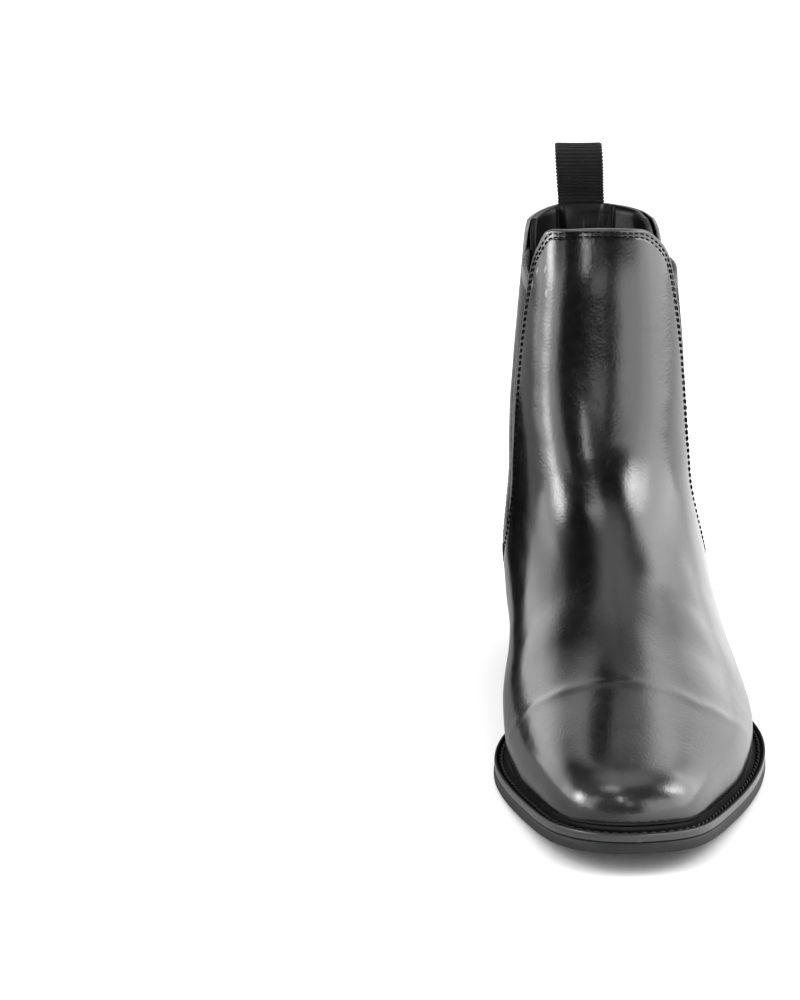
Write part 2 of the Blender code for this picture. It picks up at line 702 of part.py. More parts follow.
def top_edge(start, between, end, part):
    """Top edge from one place to another, through (x, z) points at the front or back."""
    corners = upper.at(*np.array([start, end]).T)[:, [0, 2]]
    line = smooth_line([corners[0], *between, corners[1]])
    y = np.full(len(line), 40.0 if part == 'front' else 127.0)
    targets = np.column_stack([line[:, 0], y, line[:, 1]])
    places = upper.locate(targets, (1.0, 0.02, 1.0), part)
    if part == 'front':
        places = across_toe(places)
    places[0], places[-1] = start, end
    return places


def panel(name, left, right, top, leather_grid, lining_grid, **shape):
    """Leather panel and its lining; the grids are (columns, rows)."""
    bottom = np.array([[left[0, 0], 0.0], [right[0, 0], 0.0]])
    leather = patch(bottom, right, top, left, *leather_grid, **shape)
    sheet(name, leather, 0.0, LEATHER, calf)
    lining = patch(bottom, right, top, left, *lining_grid, **shape)
    sheet(name + "_lining", lining, LINING_DEPTH, LINING, lining_leather)


def build_vamp():
    lateral = panel_side(GORE_FRONT, 'lateral', -SEAM_SHIFT)
    medial = across_toe(panel_side(GORE_FRONT, 'medial', -SEAM_SHIFT))
    top = top_edge(medial[-1], VAMP_TOP, lateral[-1], 'front')
    panel("vamp", medial, lateral, top, leather_grid=(36, 20), lining_grid=(30, 16),
          relax=3, warp=1.55, gather=1.3)


def build_quarter():
    lateral = panel_side(GORE_BACK, 'lateral', SEAM_SHIFT)
    medial = panel_side(GORE_BACK, 'medial', SEAM_SHIFT)
    top = top_edge(lateral[-1], QUARTER_TOP, medial[-1], 'back')
    panel("quarter", lateral, medial, top, leather_grid=(26, 17), lining_grid=(24, 14),
          relax=10, warp=1.15)


def build_gore(side):
    front, back, base, top = (
        side_line(line, side)
        for line in (ELASTIC_FRONT, ELASTIC_BACK, ELASTIC_BASE, ELASTIC_TOP))
    base[0], base[-1] = front[0], back[0]
    top[0], top[-1] = front[-1], back[-1]
    places = patch(base, back, top, front, columns=10, rows=14, relax=60)
    sheet("gore_" + side, places, MIDDLE_DEPTH, MIDDLE, elastic)


def build_crescent(name, start, end, height, depth, thickness, rows):
    """Stiffener rising from the feather edge; height is a function of -1 to 1 across it."""
    columns = 18
    places = np.empty((columns + 1, rows + 1, 2))
    places[..., 0] = np.linspace(start, end, columns + 1)[:, None]
    across = np.linspace(-1, 1, columns + 1)
    places[..., 1] = height(across)[:, None] * np.linspace(0, 1, rows + 1)
    sheet(name, places, depth, thickness, stiffener)


def build_heel_grip():
    """Panel over the middle of the quarter lining, inside the heel."""
    ends = []
    for targets in ([(-19, 130, 70), (7, 130, 70)], [(-19, 127, 188.6), (6.5, 127, 188.6)]):
        places = upper.locate(targets, (1.0, 0.02, 1.0), 'back')
        ends.append(places[np.argsort(places[:, 0])])
    low, high = ends
    left, right = (np.array([low[i], high[i]]) for i in (0, 1))
    places = patch(low, right, high, left, columns=6, rows=12, relax=0)
    sheet("heel_grip", places, GRIP_DEPTH, GRIP_T, lining_leather)


build_vamp()
build_quarter()
build_gore('lateral')
build_gore('medial')
build_crescent("toe_puff", -0.082, 0.082, lambda u: 0.055 + 0.16 * (1 - u * u) ** 0.6,
               depth=MIDDLE_DEPTH + 0.45, thickness=0.65, rows=8)
build_crescent("heel_counter", 0.385, 0.615,
               lambda u: 0.04 + 0.235 * (1 - abs(u) ** 2.6) ** 0.7,
               depth=MIDDLE_DEPTH + 0.2, thickness=0.8, rows=7)
build_heel_grip()


# =====================================================================
# Bottom
# =====================================================================
def folded(outline, count):
    """count places on an outline, paired across its long axis so that caps run across."""
    half = count // 2
    even = np.arange(half + 1) / half
    # places crowd a little towards the toe and the back
    fractions = 0.45 * (0.5 - 0.5 * np.cos(np.pi * even)) + 0.55 * even
    lateral, medial = split_sides(outline)
    return np.vstack([resample(lateral, fractions)[:-1],
                      resample(medial, 1 - fractions[::-1])[:-1]])


def follow(outline, rise):
    """Outline at a height above the underside of the outsole."""
    return np.column_stack([outline, z_bottom(outline[:, 1]) + rise])


def sole_level(distance, rise):
    return follow(folded(inset(sole_ring, distance), 72), rise)


def build_outsole():
    slab("outsole", [sole_level(0.9, 0.0), sole_level(0.0, 0.9),
                     sole_level(0.5, OUTSOLE_T - 0.2)], sole_edge)


def build_welt():
    band("welt", [sole_level(0.9, WELT_BASE), sole_level(1.3, WELT_BASE + 2.2),
                  sole_level(2.2, WELT_TOP), sole_level(WELT_INSET, WELT_TOP),
                  sole_level(WELT_INSET, WELT_BASE)], welt_leather)


def build_filler():
    """Cork filling the forefoot inside the welt."""
    outline = inset(sole_ring, WELT_INSET + 0.4)
    y = np.linspace(outline[:, 1].min() + 1.2, -26.0, 30)[::2]
    lateral, medial = split_sides(outline)
    strip("forefoot_filler", y, x_at(medial[::-1], y), x_at(lateral, y),
          WELT_BASE, WELT_TOP, cork)


def build_shank():
    half_width = 6.5
    y = np.linspace(-24.5, 78.0, 16)
    middle = np.interp(y, [-25, 30, 78], [1.0, 3.0, 0.5])
    strip("shank", y, middle - half_width, middle + half_width,
          WELT_BASE + 0.1, WELT_BASE + 1.7, steel)


def build_insole(name, clearance, base, top, material):
    """Flat layer inside the lining, clear of it all round."""
    outline = folded(inset(feather_ring, LINING_BACK + clearance), 60)
    slab(name, [follow(outline, base), follow(outline, top)], material)


build_outsole()
build_welt()
build_filler()
build_shank()
build_insole("insole_board", 2.6, BOARD_BASE, BOARD_BASE + 2.2, fibre_board)
build_insole("sock_liner", 4.0, BOARD_BASE + 2.5, BOARD_BASE + 3.7, lining_leather)

# =====================================================================
# Heel: block and rubber top piece, with nails up through both
# =====================================================================
BREAST_HOLLOW = 3.0
NAILS = [(-18.0, 82.0), (18.0, 82.0), (-17.5, 108.0), (18.5, 108.0), (0.5, 126.0)]    # (x, y)


def heel_level(distance, setback, z=None):
    """Back of the sole's outline moved inwards, closed by a shallow hollow front face.

    Without z it lies just under the outsole.
    """
    breast = Y_BREAST + setback
    outline = inset(sole_ring, distance)
    lateral, medial = split_sides(outline)
    turn = np.linspace(0, 1, 15) * np.pi / 2
    y = breast + (outline[:, 1].max() - breast) * np.cos(turn)
    lateral, medial = (np.stack([x_at(side, y), y], 1) for side in (lateral[::-1], medial))
    u = np.linspace(1, -1, 9)[1:-1]
    end_l, end_m = lateral[-1, 0], medial[-1, 0]
    front = np.stack([(end_l + end_m) / 2 + (end_l - end_m) / 2 * u,
                      breast + BREAST_HOLLOW * (1 - u ** 2)], 1)
    ring = np.vstack([lateral, front, medial[::-1][:-1]])
    heights = z_bottom(ring[:, 1]) - GAP if z is None else np.full(len(ring), z)
    return np.column_stack([ring, heights])


def pins(name, places, radius, low, high, collection=parts, sides=10):
    """Upright cylinders at (x, y) places."""
    points, faces = [], []
    for x, y in places:
        k = len(points)
        for z in (low, high):
            for i in range(sides):
                angle = 2 * math.pi * i / sides
                points.append((x + radius * math.cos(angle), y + radius * math.sin(angle), z))
        faces += [tuple(k + v for v in face) for face in wall_faces(sides, 2)]
        faces.append(tuple(range(k + sides - 1, k - 1, -1)))
        faces.append(tuple(range(k + sides, k + 2 * sides)))
    return solid(name, points, faces, brass, smooth=False, collection=collection)


def build_heel():
    block = prism("heel_block", [heel_level(2.4, 1.4, TOP_LIFT_T + GAP),
                                 heel_level(1.9, 0.8, 11.0), heel_level(0.9, 0.0)], heel_stack)
    top_lift = prism("top_lift", [heel_level(3.2, 2.2, 0.0), heel_level(2.6, 1.8, 0.6),
                                  heel_level(2.4, 1.4, TOP_LIFT_T)], heel_rubber)
    bores = pins("nail_bores", NAILS, BORE_R, -2.0, 15.0, collection=cutters)
    bores.hide_render = True
    bores.display_type = 'WIRE'
    for target in (block, top_lift):
        cut = target.modifiers.new("bores", 'BOOLEAN')
        cut.operation = 'DIFFERENCE'
        cut.solver = 'EXACT'
        cut.object = bores
    for number, place in enumerate(NAILS, 1):
        pins("heel_nail_%d" % number, [place], NAIL_R, 0.6, 14.7)


build_heel()

# =====================================================================
# Pull tab: a folded loop of webbing that swings about the back of the top edge
# =====================================================================
TAB_WIDTH = 19.4
TAB_HEIGHT = 24.0
TAB_THICKNESS = 1.2
TAB_X = -8.0
TAB_Y, TAB_Z = 126.0, 193.6   # its axis, along x
# Bottom of the joined feet, (y, z) from the axis, back to front
TAB_FOOT = [(0.95, -0.9), (0.0, -1.3), (-0.95, -0.9)]


def loop_line(count):
    """Middle of the webbing, (y, z) from the axis: front foot, over the top, back foot."""
    angle = np.pi * np.linspace(0, 1, count)
    y = -np.cos(angle) * (0.75 + 6.3 * np.sin(angle) ** 1.2)
    z = (TAB_HEIGHT - TAB_THICKNESS) * (1 - np.abs(np.cos(angle)) ** 1.6) ** 0.9
    return np.stack([y, z], 1)


def tab_section():
    """Side outline of the loop and of its opening, (y, z) from the axis."""
    middle = loop_line(25)
    tangent = np.gradient(middle, axis=0)
    tangent /= np.linalg.norm(tangent, axis=1)[:, None]
    outward = np.stack([-tangent[:, 1], tangent[:, 0]], 1)
    outer = middle + outward * (TAB_THICKNESS / 2)
    outer[0], outer[-1] = (-1.35, 0.0), (1.35, 0.0)
    opening = (middle - outward * (TAB_THICKNESS / 2))[1:-1]
    # the two sides of the opening stay apart, and it ends above the joined feet
    y = opening[:, 0]
    opening[:, 0] = np.where(np.abs(y) < 0.12, np.sign(y) * 0.12, y)
    opening = opening[opening[:, 1] > 1.5]
    return np.vstack([outer, TAB_FOOT]), opening


def build_pull_tab():
    outline, opening = tab_section()
    count, hole_count = len(outline), len(opening)
    points = [(x, TAB_Y + y, TAB_Z + z)
              for x in (TAB_X - TAB_WIDTH / 2, TAB_X + TAB_WIDTH / 2)
              for y, z in np.vstack([outline, opening])]
    k = count + hole_count
    rim = [(i, (i + 1) % count) for i in range(count)]
    hole = [(count + i, count + (i + 1) % hole_count) for i in range(hole_count)]
    faces = [(a, b, k + b, k + a) for a, b in rim]
    faces += [(b, a, k + a, k + b) for a, b in hole]
    # one side is filled between outline and opening, and used for both
    bm = bmesh.new()
    verts = [bm.verts.new(p) for p in points[:k]]
    edges = [bm.edges.new((verts[a], verts[b])) for a, b in rim + hole]
    bmesh.ops.triangle_fill(bm, edges=edges, use_beauty=True, use_dissolve=False,
                            normal=(1, 0, 0))
    bm.verts.index_update()
    for face in [tuple(v.index for v in f.verts) for f in bm.faces]:
        faces.append(face)
        faces.append(tuple(k + v for v in face[::-1]))
    bm.free()
    origin = ((TAB_X + SHIFT_X) * MM, (TAB_Y + SHIFT_Y) * MM, TAB_Z * MM)
    solid("pull_tab", points, faces, webbing, origin=origin)


build_pull_tab()
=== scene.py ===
# An elastic-sided ankle boot on a leather welt, with a stacked heel and a webbing pull loop.
# The toe points to -Y, the lateral side to +X and the ground is z = 0. Shapes are worked out
# in millimetres in the last's own axes; mesh() moves them to the origin and into metres.
import json
import math

import bpy
import numpy as np
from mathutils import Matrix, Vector

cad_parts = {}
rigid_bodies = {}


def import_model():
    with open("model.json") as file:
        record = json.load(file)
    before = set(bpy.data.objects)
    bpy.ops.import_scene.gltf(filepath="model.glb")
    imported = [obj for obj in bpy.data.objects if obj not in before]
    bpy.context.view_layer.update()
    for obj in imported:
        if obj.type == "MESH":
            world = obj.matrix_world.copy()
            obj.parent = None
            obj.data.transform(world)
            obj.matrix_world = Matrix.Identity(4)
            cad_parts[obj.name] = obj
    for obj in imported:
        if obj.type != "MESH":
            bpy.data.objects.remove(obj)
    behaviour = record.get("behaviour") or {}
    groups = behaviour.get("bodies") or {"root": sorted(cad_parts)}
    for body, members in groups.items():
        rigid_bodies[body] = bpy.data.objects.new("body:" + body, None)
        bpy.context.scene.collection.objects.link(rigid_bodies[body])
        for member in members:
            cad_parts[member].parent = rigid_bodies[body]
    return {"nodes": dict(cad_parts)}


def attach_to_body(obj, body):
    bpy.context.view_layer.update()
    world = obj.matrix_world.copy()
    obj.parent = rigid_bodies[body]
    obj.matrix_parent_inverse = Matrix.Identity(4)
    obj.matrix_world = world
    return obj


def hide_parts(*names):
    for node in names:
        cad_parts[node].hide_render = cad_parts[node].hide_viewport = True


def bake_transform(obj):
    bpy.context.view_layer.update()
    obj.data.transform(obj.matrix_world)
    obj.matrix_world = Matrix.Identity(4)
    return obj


for old in list(bpy.data.objects):
    bpy.data.objects.remove(old, do_unlink=True)
cad_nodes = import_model()["nodes"]
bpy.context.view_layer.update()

# =====================================================================
# Driving dimensions, millimetres
# =====================================================================
MM = 0.001
SHIFT_X, SHIFT_Y = -3.25, 5.25    # moves the middle of the outsole's box to the origin
GAP = 0.3                         # clearance between neighbouring pieces
LEATHER = 1.5                     # upper leather
MIDDLE = 1.5                      # room for the elastic, toe puff and heel counter
LINING = 1.0                      # lining leather
LINING_DEPTH = LEATHER + 0.5 + MIDDLE + 0.8
TOE_Y = -150.0
TOE_SPRING = 9.5                  # lift of the toe tip
CONTACT_Y = -42.0                 # where the forefoot leaves the ground
HEEL = 18.5                       # height of the heel under the outsole
RISE_Y = -22.0                    # start of the waist's rise
BREAST_Y = 64.0                   # front face of the heel
OUTSOLE_T = 4.6
WELT_T = 3.4
SOLE_T = OUTSOLE_T + GAP + WELT_T
FEATHER_LIFT = 1.2                # lower edge of the upper, above the welt
TAB_W = 19.4                      # width of the pull loop
TAB_X = -8.0                      # middle of the pull loop
FINE = 1.0
SIDES = ('lateral', 'medial')

# Outline of the outsole in plan, (x, y), from the toe round by the lateral side
SOLE = [
    (-5.5, -150.0), (8.3, -147.6), (21.3, -139.6), (33.4, -117.7), (44.4, -91.3), (53.9, -61.8),
    (58.0, -33), (54.5, -9), (44.5, 9), (37, 36), (33.8, 70), (32.6, 100), (28, 122),
    (16.5, 135.5), (0, 139.5), (-16.5, 135.5), (-27.5, 121), (-30.5, 98), (-28.4, 68),
    (-29.3, 34), (-36.5, 2), (-47.5, -28), (-51.2, -55), (-47.1, -83.4), (-40.0, -110.9),
    (-31.4, -134.6), (-18.8, -146.6)]
# Widest outline of the upper in plan, same columns and order
WIDE = [
    (-5.5, -144.2), (8.5, -141.7), (20.5, -134), (33, -112), (45.5, -87), (55.5, -60),
    (60.5, -36), (56.8, -8), (48, 16), (40, 38), (35, 64), (32.0, 93), (27.5, 115), (16.5, 129),
    (0, 133.6), (-16.3, 129), (-27.0, 114), (-31.5, 91), (-33.6, 64), (-37.0, 36), (-42, 6),
    (-48, -24), (-50.3, -54), (-46.5, -84), (-38.5, -113), (-29, -131.5), (-17, -141.3)]


# =====================================================================
# Curves and lines
# =====================================================================
def fine(count):
    return int(count * FINE)


def unit(vectors):
    return vectors / np.linalg.norm(vectors, axis=-1, keepdims=True)


def lengths(line):
    """Length along a line up to each of its places."""
    return np.r_[0, np.cumsum(np.linalg.norm(np.diff(line, axis=0), axis=1))]


def interpolate(wanted, known, line):
    return np.stack([np.interp(wanted, known, line[:, c]) for c in range(line.shape[1])], 1)


def evenly(line, count):
    known = lengths(line)
    return interpolate(np.linspace(0, known[-1], count), known, line)


def resampled(line, step):
    return evenly(line, max(2, int(lengths(line)[-1] / step)) + 1)


def ease(part):
    part = np.clip(part, 0, 1)
    return part * part * (3 - 2 * part)


def smooth_min(first, second, width):
    share = np.clip(0.5 + 0.5 * (second - first) / width, 0, 1)
    return second + (first - second) * share - width * share * (1 - share)


def smooth_max(first, second, width):
    return -smooth_min(-first, -second, width)


def hermite(part, step, start, end, slope_start, slope_end):
    return ((1 + 2 * part) * (1 - part) ** 2 * start + part * (1 - part) ** 2 * step * slope_start
            + part ** 2 * (3 - 2 * part) * end + part ** 2 * (part - 1) * step * slope_end)


def cubic_weights(part):
    """Catmull-Rom weights of the four places round a gap."""
    return (-0.5 * part + part * part - 0.5 * part ** 3,
            1 - 2.5 * part * part + 1.5 * part ** 3,
            0.5 * part + 2 * part * part - 1.5 * part ** 3,
            -0.5 * part * part + 0.5 * part ** 3)


def monotone(stations, values):
    """Smooth monotone curve through values at stations, straight beyond them."""
    stations = np.asarray(stations, float)
    values = np.asarray(values, float)
    step = np.diff(stations)
    rate = np.diff(values) / step
    slope = np.zeros(len(stations))
    for i in range(1, len(stations) - 1):
        if rate[i - 1] * rate[i] > 0:
            before = 2 * step[i] + step[i - 1]
            after = step[i] + 2 * step[i - 1]
            slope[i] = (before + after) / (before / rate[i - 1] + after / rate[i])
    slope[0] = rate[0]
    slope[-1] = rate[-1]

    def curve(x):
        x = np.asarray(x, float)
        i = np.clip(np.searchsorted(stations, x) - 1, 0, len(stations) - 2)
        part = (x - stations[i]) / step[i]
        value = hermite(np.clip(part, 0, 1), step[i], values[i], values[i + 1],
                        slope[i], slope[i + 1])
        value = np.where(part < 0, values[0] + (x - stations[0]) * slope[0], value)
        return np.where(part > 1, values[-1] + (x - stations[-1]) * slope[-1], value)
    return curve


def closed_spline(points, count):
    """Closed cubic spline through the points: count even places, the first at points[0]."""
    points = np.asarray(points, float)
    size = len(points)
    loop = np.vstack([points, points[:1]])
    knots = np.r_[0, np.cumsum(np.sqrt(np.linalg.norm(np.diff(loop, axis=0), axis=1)))]
    step = np.diff(knots)
    system = np.zeros((size, size))
    target = np.zeros((size, 2))
    for i in range(size):
        before, after = step[i - 1], step[i]
        following = (i + 1) % size
        system[i, (i - 1) % size] += after
        system[i, i] += 2 * (before + after)
        system[i, following] += before
        target[i] = 3 * (after * (points[i] - points[i - 1]) / before
                         + before * (points[following] - points[i]) / after)
    slope = np.linalg.solve(system, target)
    dense = np.linspace(0, knots[-1], 3001)[:-1]
    i = np.clip(np.searchsorted(knots, dense, side='right') - 1, 0, size - 1)
    j = (i + 1) % size
    part = ((dense - knots[i]) / step[i])[:, None]
    curve = hermite(part, step[i][:, None], points[i], points[j], slope[i], slope[j])
    return evenly(np.vstack([curve, curve[:1]]), count + 1)[:-1]


def open_spline(points, count):
    """Open Catmull-Rom curve through points, about count places."""
    points = np.asarray(points, float)
    padded = np.vstack([2 * points[0] - points[1], points, 2 * points[-1] - points[-2]])
    per_gap = max(2, int(count / (len(points) - 1)))
    pieces = []
    for i in range(len(points) - 1):
        part = np.linspace(0, 1, per_gap, endpoint=(i == len(points) - 2))
        weights = cubic_weights(part[:, None])
        pieces.append(weights[0] * padded[i] + weights[1] * padded[i + 1]
                      + weights[2] * padded[i + 2] + weights[3] * padded[i + 3])
    return np.vstack(pieces)


def inset(outline, distance):
    """Closed outline (toe first, lateral side next) moved inwards by one or many distances."""
    along_it = unit(np.roll(outline, -1, 0) - np.roll(outline, 1, 0))
    outward = np.stack([along_it[:, 1], -along_it[:, 0]], 1)
    if outward[0, 1] > 0:
        outward = -outward
    return outline - outward * np.reshape(distance, (-1, 1))


# =====================================================================
# The last: bottom heights, plan outlines and the outer form of the upper
# =====================================================================
def z_bottom(y):
    y = np.asarray(y, float)
    toe = TOE_SPRING * np.clip((CONTACT_Y - y) / (CONTACT_Y - TOE_Y), 0, 1.2) ** 2
    return toe + HEEL * ease((y - RISE_Y) / (BREAST_Y + 8 - RISE_Y))


def z_feather(y):
    return z_bottom(y) + SOLE_T + FEATHER_LIFT


def feather_inset(y):
    """How far the upper stands in from the outsole's edge: less past the ball, waist and toe."""
    return (7.2 - 1.0 * ease((y + 110) / 60) - 1.7 * ease(y / 50)
            - 1.9 * ease((y + 149) / 14) * ease((-58 - y) / 34))


ring_sole = closed_spline(SOLE, 360)
ring_wide = closed_spline(WIDE, 360)
ring_feather = inset(ring_sole, feather_inset(ring_sole[:, 1]))

# Plan grid of the distance fields, 1 mm apart, and the blur that softens them
FIELD_X, FIELD_Y = np.arange(-80.0, 81.0, 1.0), np.arange(-172.0, 165.0, 1.0)
BLUR_REACH, BLUR_WIDTH = 7, 2.2


def distance_field(outline):
    """Signed plan distance to an outline, negative inside, softened so it has no creases."""
    grid_x, grid_y = np.meshgrid(FIELD_X, FIELD_Y, indexing='ij')
    flat_x, flat_y = grid_x.ravel(), grid_y.ravel()
    start, end = outline, np.roll(outline, -1, axis=0)
    edge = end - start
    square = (edge ** 2).sum(1) + 1e-12
    rise = np.where(np.abs(edge[:, 1]) < 1e-12, 1e-12, edge[:, 1])
    signed = np.empty(flat_x.shape)
    chunk = 6000
    for first in range(0, len(flat_x), chunk):
        x, y = flat_x[first:first + chunk, None], flat_y[first:first + chunk, None]
        part = np.clip(((x - start[:, 0]) * edge[:, 0] + (y - start[:, 1]) * edge[:, 1])
                       / square, 0, 1)
        away = np.sqrt(((x - start[:, 0] - part * edge[:, 0]) ** 2
                        + (y - start[:, 1] - part * edge[:, 1]) ** 2).min(1))
        crossed = (((start[:, 1] > y) != (end[:, 1] > y))
                   & (x < edge[:, 0] * (y - start[:, 1]) / rise + start[:, 0]))
        signed[first:first + chunk] = np.where(crossed.sum(1) % 2 == 1, -away, away)
    field = signed.reshape(grid_x.shape)
    kernel = np.exp(-0.5 * (np.arange(-BLUR_REACH, BLUR_REACH + 1) / BLUR_WIDTH) ** 2)
    kernel /= kernel.sum()

    def blur(values):
        padded = np.pad(values, BLUR_REACH, mode='reflect', reflect_type='odd')
        return np.convolve(padded, kernel, mode='valid')
    for axis in (0, 1):
        field = np.apply_along_axis(blur, axis, field)
    return field


field_wide = distance_field(ring_wide)
field_feather = distance_field(ring_feather)


def sample(field, x, y):
    column = np.clip(x - FIELD_X[0], 1, len(FIELD_X) - 3.001)
    row = np.clip(y - FIELD_Y[0], 1, len(FIELD_Y) - 3.001)
    i, j = column.astype(int), row.astype(int)
    weights_x, weights_y = cubic_weights(column - i), cubic_weights(row - j)
    total = 0.0
    for p in range(4):
        strip = 0.0
        for q in range(4):
            strip = strip + weights_y[q] * field[i - 1 + p, j - 1 + q]
        total = total + weights_x[p] * strip
    return total


# Top ridge of the foot by y: its height, its x and its radius across
ridge_z = monotone(
    [-152, -149, -146, -141, -134, -122, -108, -79, -49, -23, 0, 20, 45, 80, 137],
    [6, 15, 21.5, 29.0, 34, 38.6, 42.8, 51.3, 62.3, 76.0, 88, 94, 96, 92, 80])
ridge_x = monotone([-150, -110, -60, -20, 20, 60, 100, 137],
                   [-5.5, -3.0, 0.5, -2.0, -5.0, -3.0, -1, 0])
ridge_radius = monotone([-150, -120, -80, -40, 0, 40, 137], [62, 52, 44, 34, 28, 30, 40])
# Radius of the side walls' lean and width of the blend from wall to top, by y
wall_lean = monotone([-150, -100, -40, 0, 40, 137], [30., 34., 44., 60., 90., 120.])
wall_blend = monotone([-150, -130, -90, 0, 137], [9., 13., 20., 24., 24.])
# Shaft by z: y of its front and back, half width and middle x
shaft_front = monotone([30, 60, 80, 98, 117, 139, 165, 182, 200, 215],
                       [-14, -8, -3, 4, 13, 21.5, 28.5, 33, 40, 46])
shaft_back = monotone([20, 40, 55, 70, 90, 110, 130, 160, 191, 215],
                      [129, 131.0, 131.0, 129.5, 126.5, 124.4, 124, 125.3, 127.5, 130])
shaft_half = monotone([40, 66, 82, 98, 112, 130, 146, 162, 178, 200, 215],
                      [34.5, 38.0, 38.4, 38.2, 37.7, 36.8, 35.8, 34.5, 33.2, 31.6, 30.8])
shaft_x = monotone([40, 66, 100, 140, 178, 215], [-1.0, -2.0, -3.0, -3.1, -3.1, -3.1])

SHAFT_CENTRE = 0.46       # widest place of the shaft, as a share from front to back
SHAFT_BOW = 0.0019        # sideways bend of the shaft's long axis
SHAFT_FOOT_Z = 46         # below this the shaft fades out of the form
WALL_BULGE_H = 20         # height above the feather where the wall is widest
FORM_BLEND = 26.          # width of the blend between foot and shaft


def shaft(x, y, z):
    front, back = shaft_front(z), shaft_back(z)
    centre_y = front + (back - front) * SHAFT_CENTRE
    ahead = y < centre_y
    half_y = np.where(ahead, centre_y - front, back - centre_y)
    centre_x = shaft_x(z) - SHAFT_BOW * (y - centre_y) ** 2 * ease((z - 60) / 60.0)
    half_x = shaft_half(z)
    power = np.where(ahead, 2.0 + 0.55 * ease((z - 90) / 60.0), 2.15)
    across, along_y = np.abs(x - centre_x) / half_x, np.abs(y - centre_y) / half_y
    radius = (across ** power + along_y ** power + 1e-12) ** (1 / power)
    slope = (np.sqrt((across / half_x) ** 2 + (along_y / half_y) ** 2)
             / np.maximum(np.sqrt(across * across + along_y * along_y), 1e-9))
    return (radius - 1) / np.maximum(slope, 1e-4)


def foot(x, y, z):
    wide, feather = sample(field_wide, x, y), sample(field_feather, x, y)
    height = z - z_feather(y)
    swell = np.sin(np.pi / 2 * np.clip(height / WALL_BULGE_H, -0.3, 1))
    wall = feather + (wide - feather) * swell
    wall = wall + np.clip(height - WALL_BULGE_H, 0, 200) ** 2 / (2 * wall_lean(y))
    slope = (ridge_z(y + 1) - ridge_z(y - 1)) / 2
    top = ((z - ridge_z(y) + (x - ridge_x(y)) ** 2 / (2 * ridge_radius(y)))
           / np.sqrt(1 + np.minimum(slope, 2.5) ** 2))
    return smooth_max(wall, top, wall_blend(y))


def form(x, y, z):
    """Rough signed distance to the boot's outer form, negative inside."""
    leg = shaft(x, y, z)
    leg = np.where(z < SHAFT_FOOT_Z, leg + (SHAFT_FOOT_Z - z) ** 2 / 30., leg)
    return smooth_min(foot(x, y, z), leg, FORM_BLEND)


def project(points, rounds=2, flat=False, limit=6.0):
    """Moves points onto the form, in plan only if flat, at most limit in a round."""
    step = 0.05
    for _ in range(rounds):
        x, y, z = points[..., 0], points[..., 1], points[..., 2]
        value = form(x, y, z)
        slope_x = (form(x + step, y, z) - value) / step
        slope_y = (form(x, y + step, z) - value) / step
        slope_z = 0 * slope_x if flat else (form(x, y, z + step) - value) / step
        square = slope_x * slope_x + slope_y * slope_y + slope_z * slope_z + 1e-9
        move = np.clip(value / square, -limit / np.sqrt(square), limit / np.sqrt(square))
        points = points - np.stack([slope_x * move, slope_y * move, slope_z * move], -1)
    return points


def form_normal(points):
    step = 0.4
    x, y, z = points[..., 0], points[..., 1], points[..., 2]
    return unit(np.stack([form(x + step, y, z) - form(x - step, y, z),
                          form(x, y + step, z) - form(x, y - step, z),
                          form(x, y, z + step) - form(x, y, z - step)], -1))


# =====================================================================
# Surface of the upper
# =====================================================================
LOOP_X, LOOP_Y = -3.0, 84.0                     # middle of the surface's top line
LOOP_Z, LOOP_TILT, LOOP_TILT_Y = 206.0, -0.06, 40


def top_loop():
    """Closed line where a tilted plane above the collar cuts the form."""
    step = 0.05
    angle = np.arange(720) / 720 * 2 * np.pi
    way = np.stack([np.sin(angle), -np.cos(angle)], 1)
    radius = np.full(720, 36.0)
    for _ in range(30):
        x, y = LOOP_X + way[:, 0] * radius, LOOP_Y + way[:, 1] * radius
        z = LOOP_Z + LOOP_TILT * (y - LOOP_TILT_Y)
        value = form(x, y, z)
        beyond = form(x + way[:, 0] * step, y + way[:, 1] * step,
                      z + LOOP_TILT * way[:, 1] * step)
        slope = (beyond - value) / step
        radius = radius - np.clip(value / np.maximum(slope, 0.2), -5, 5)
    y = LOOP_Y + way[:, 1] * radius
    return np.stack([LOOP_X + way[:, 0] * radius, y, LOOP_Z + LOOP_TILT * (y - LOOP_TILT_Y)], 1)


def halves(line, count):
    """count places on a closed line: the first at its least y, the middle one at its most."""
    first, middle = int(np.argmin(line[:, 1])), int(np.argmax(line[:, 1]))
    turned = np.roll(line, -first, 0)
    middle = (middle - first) % len(line)
    both = (turned[:middle + 1], np.vstack([turned[middle:], turned[:1]]))
    return np.vstack([evenly(half, count // 2 + 1)[:-1] for half in both])


def doubled(grid):
    """The grid with twice the places each way, put in by four-point interpolation."""
    count, height = grid.shape[0] * 2, (grid.shape[1] - 1) * 2
    wide = np.empty((count, grid.shape[1], 3))
    wide[0::2] = grid
    wide[1::2] = (9 * (grid + np.roll(grid, -1, 0))
                  - (np.roll(grid, 1, 0) + np.roll(grid, -2, 0))) / 16
    padded = np.concatenate([2 * wide[:, :1] - wide[:, 1:2], wide,
                             2 * wide[:, -1:] - wide[:, -2:-1]], 1)
    tall = np.empty((count, height + 1, 3))
    tall[:, 0::2] = wide
    tall[:, 1::2] = (9 * (padded[:, 1:-2] + padded[:, 2:-1])
                     - (padded[:, :-3] + padded[:, 3:])) / 16
    return tall


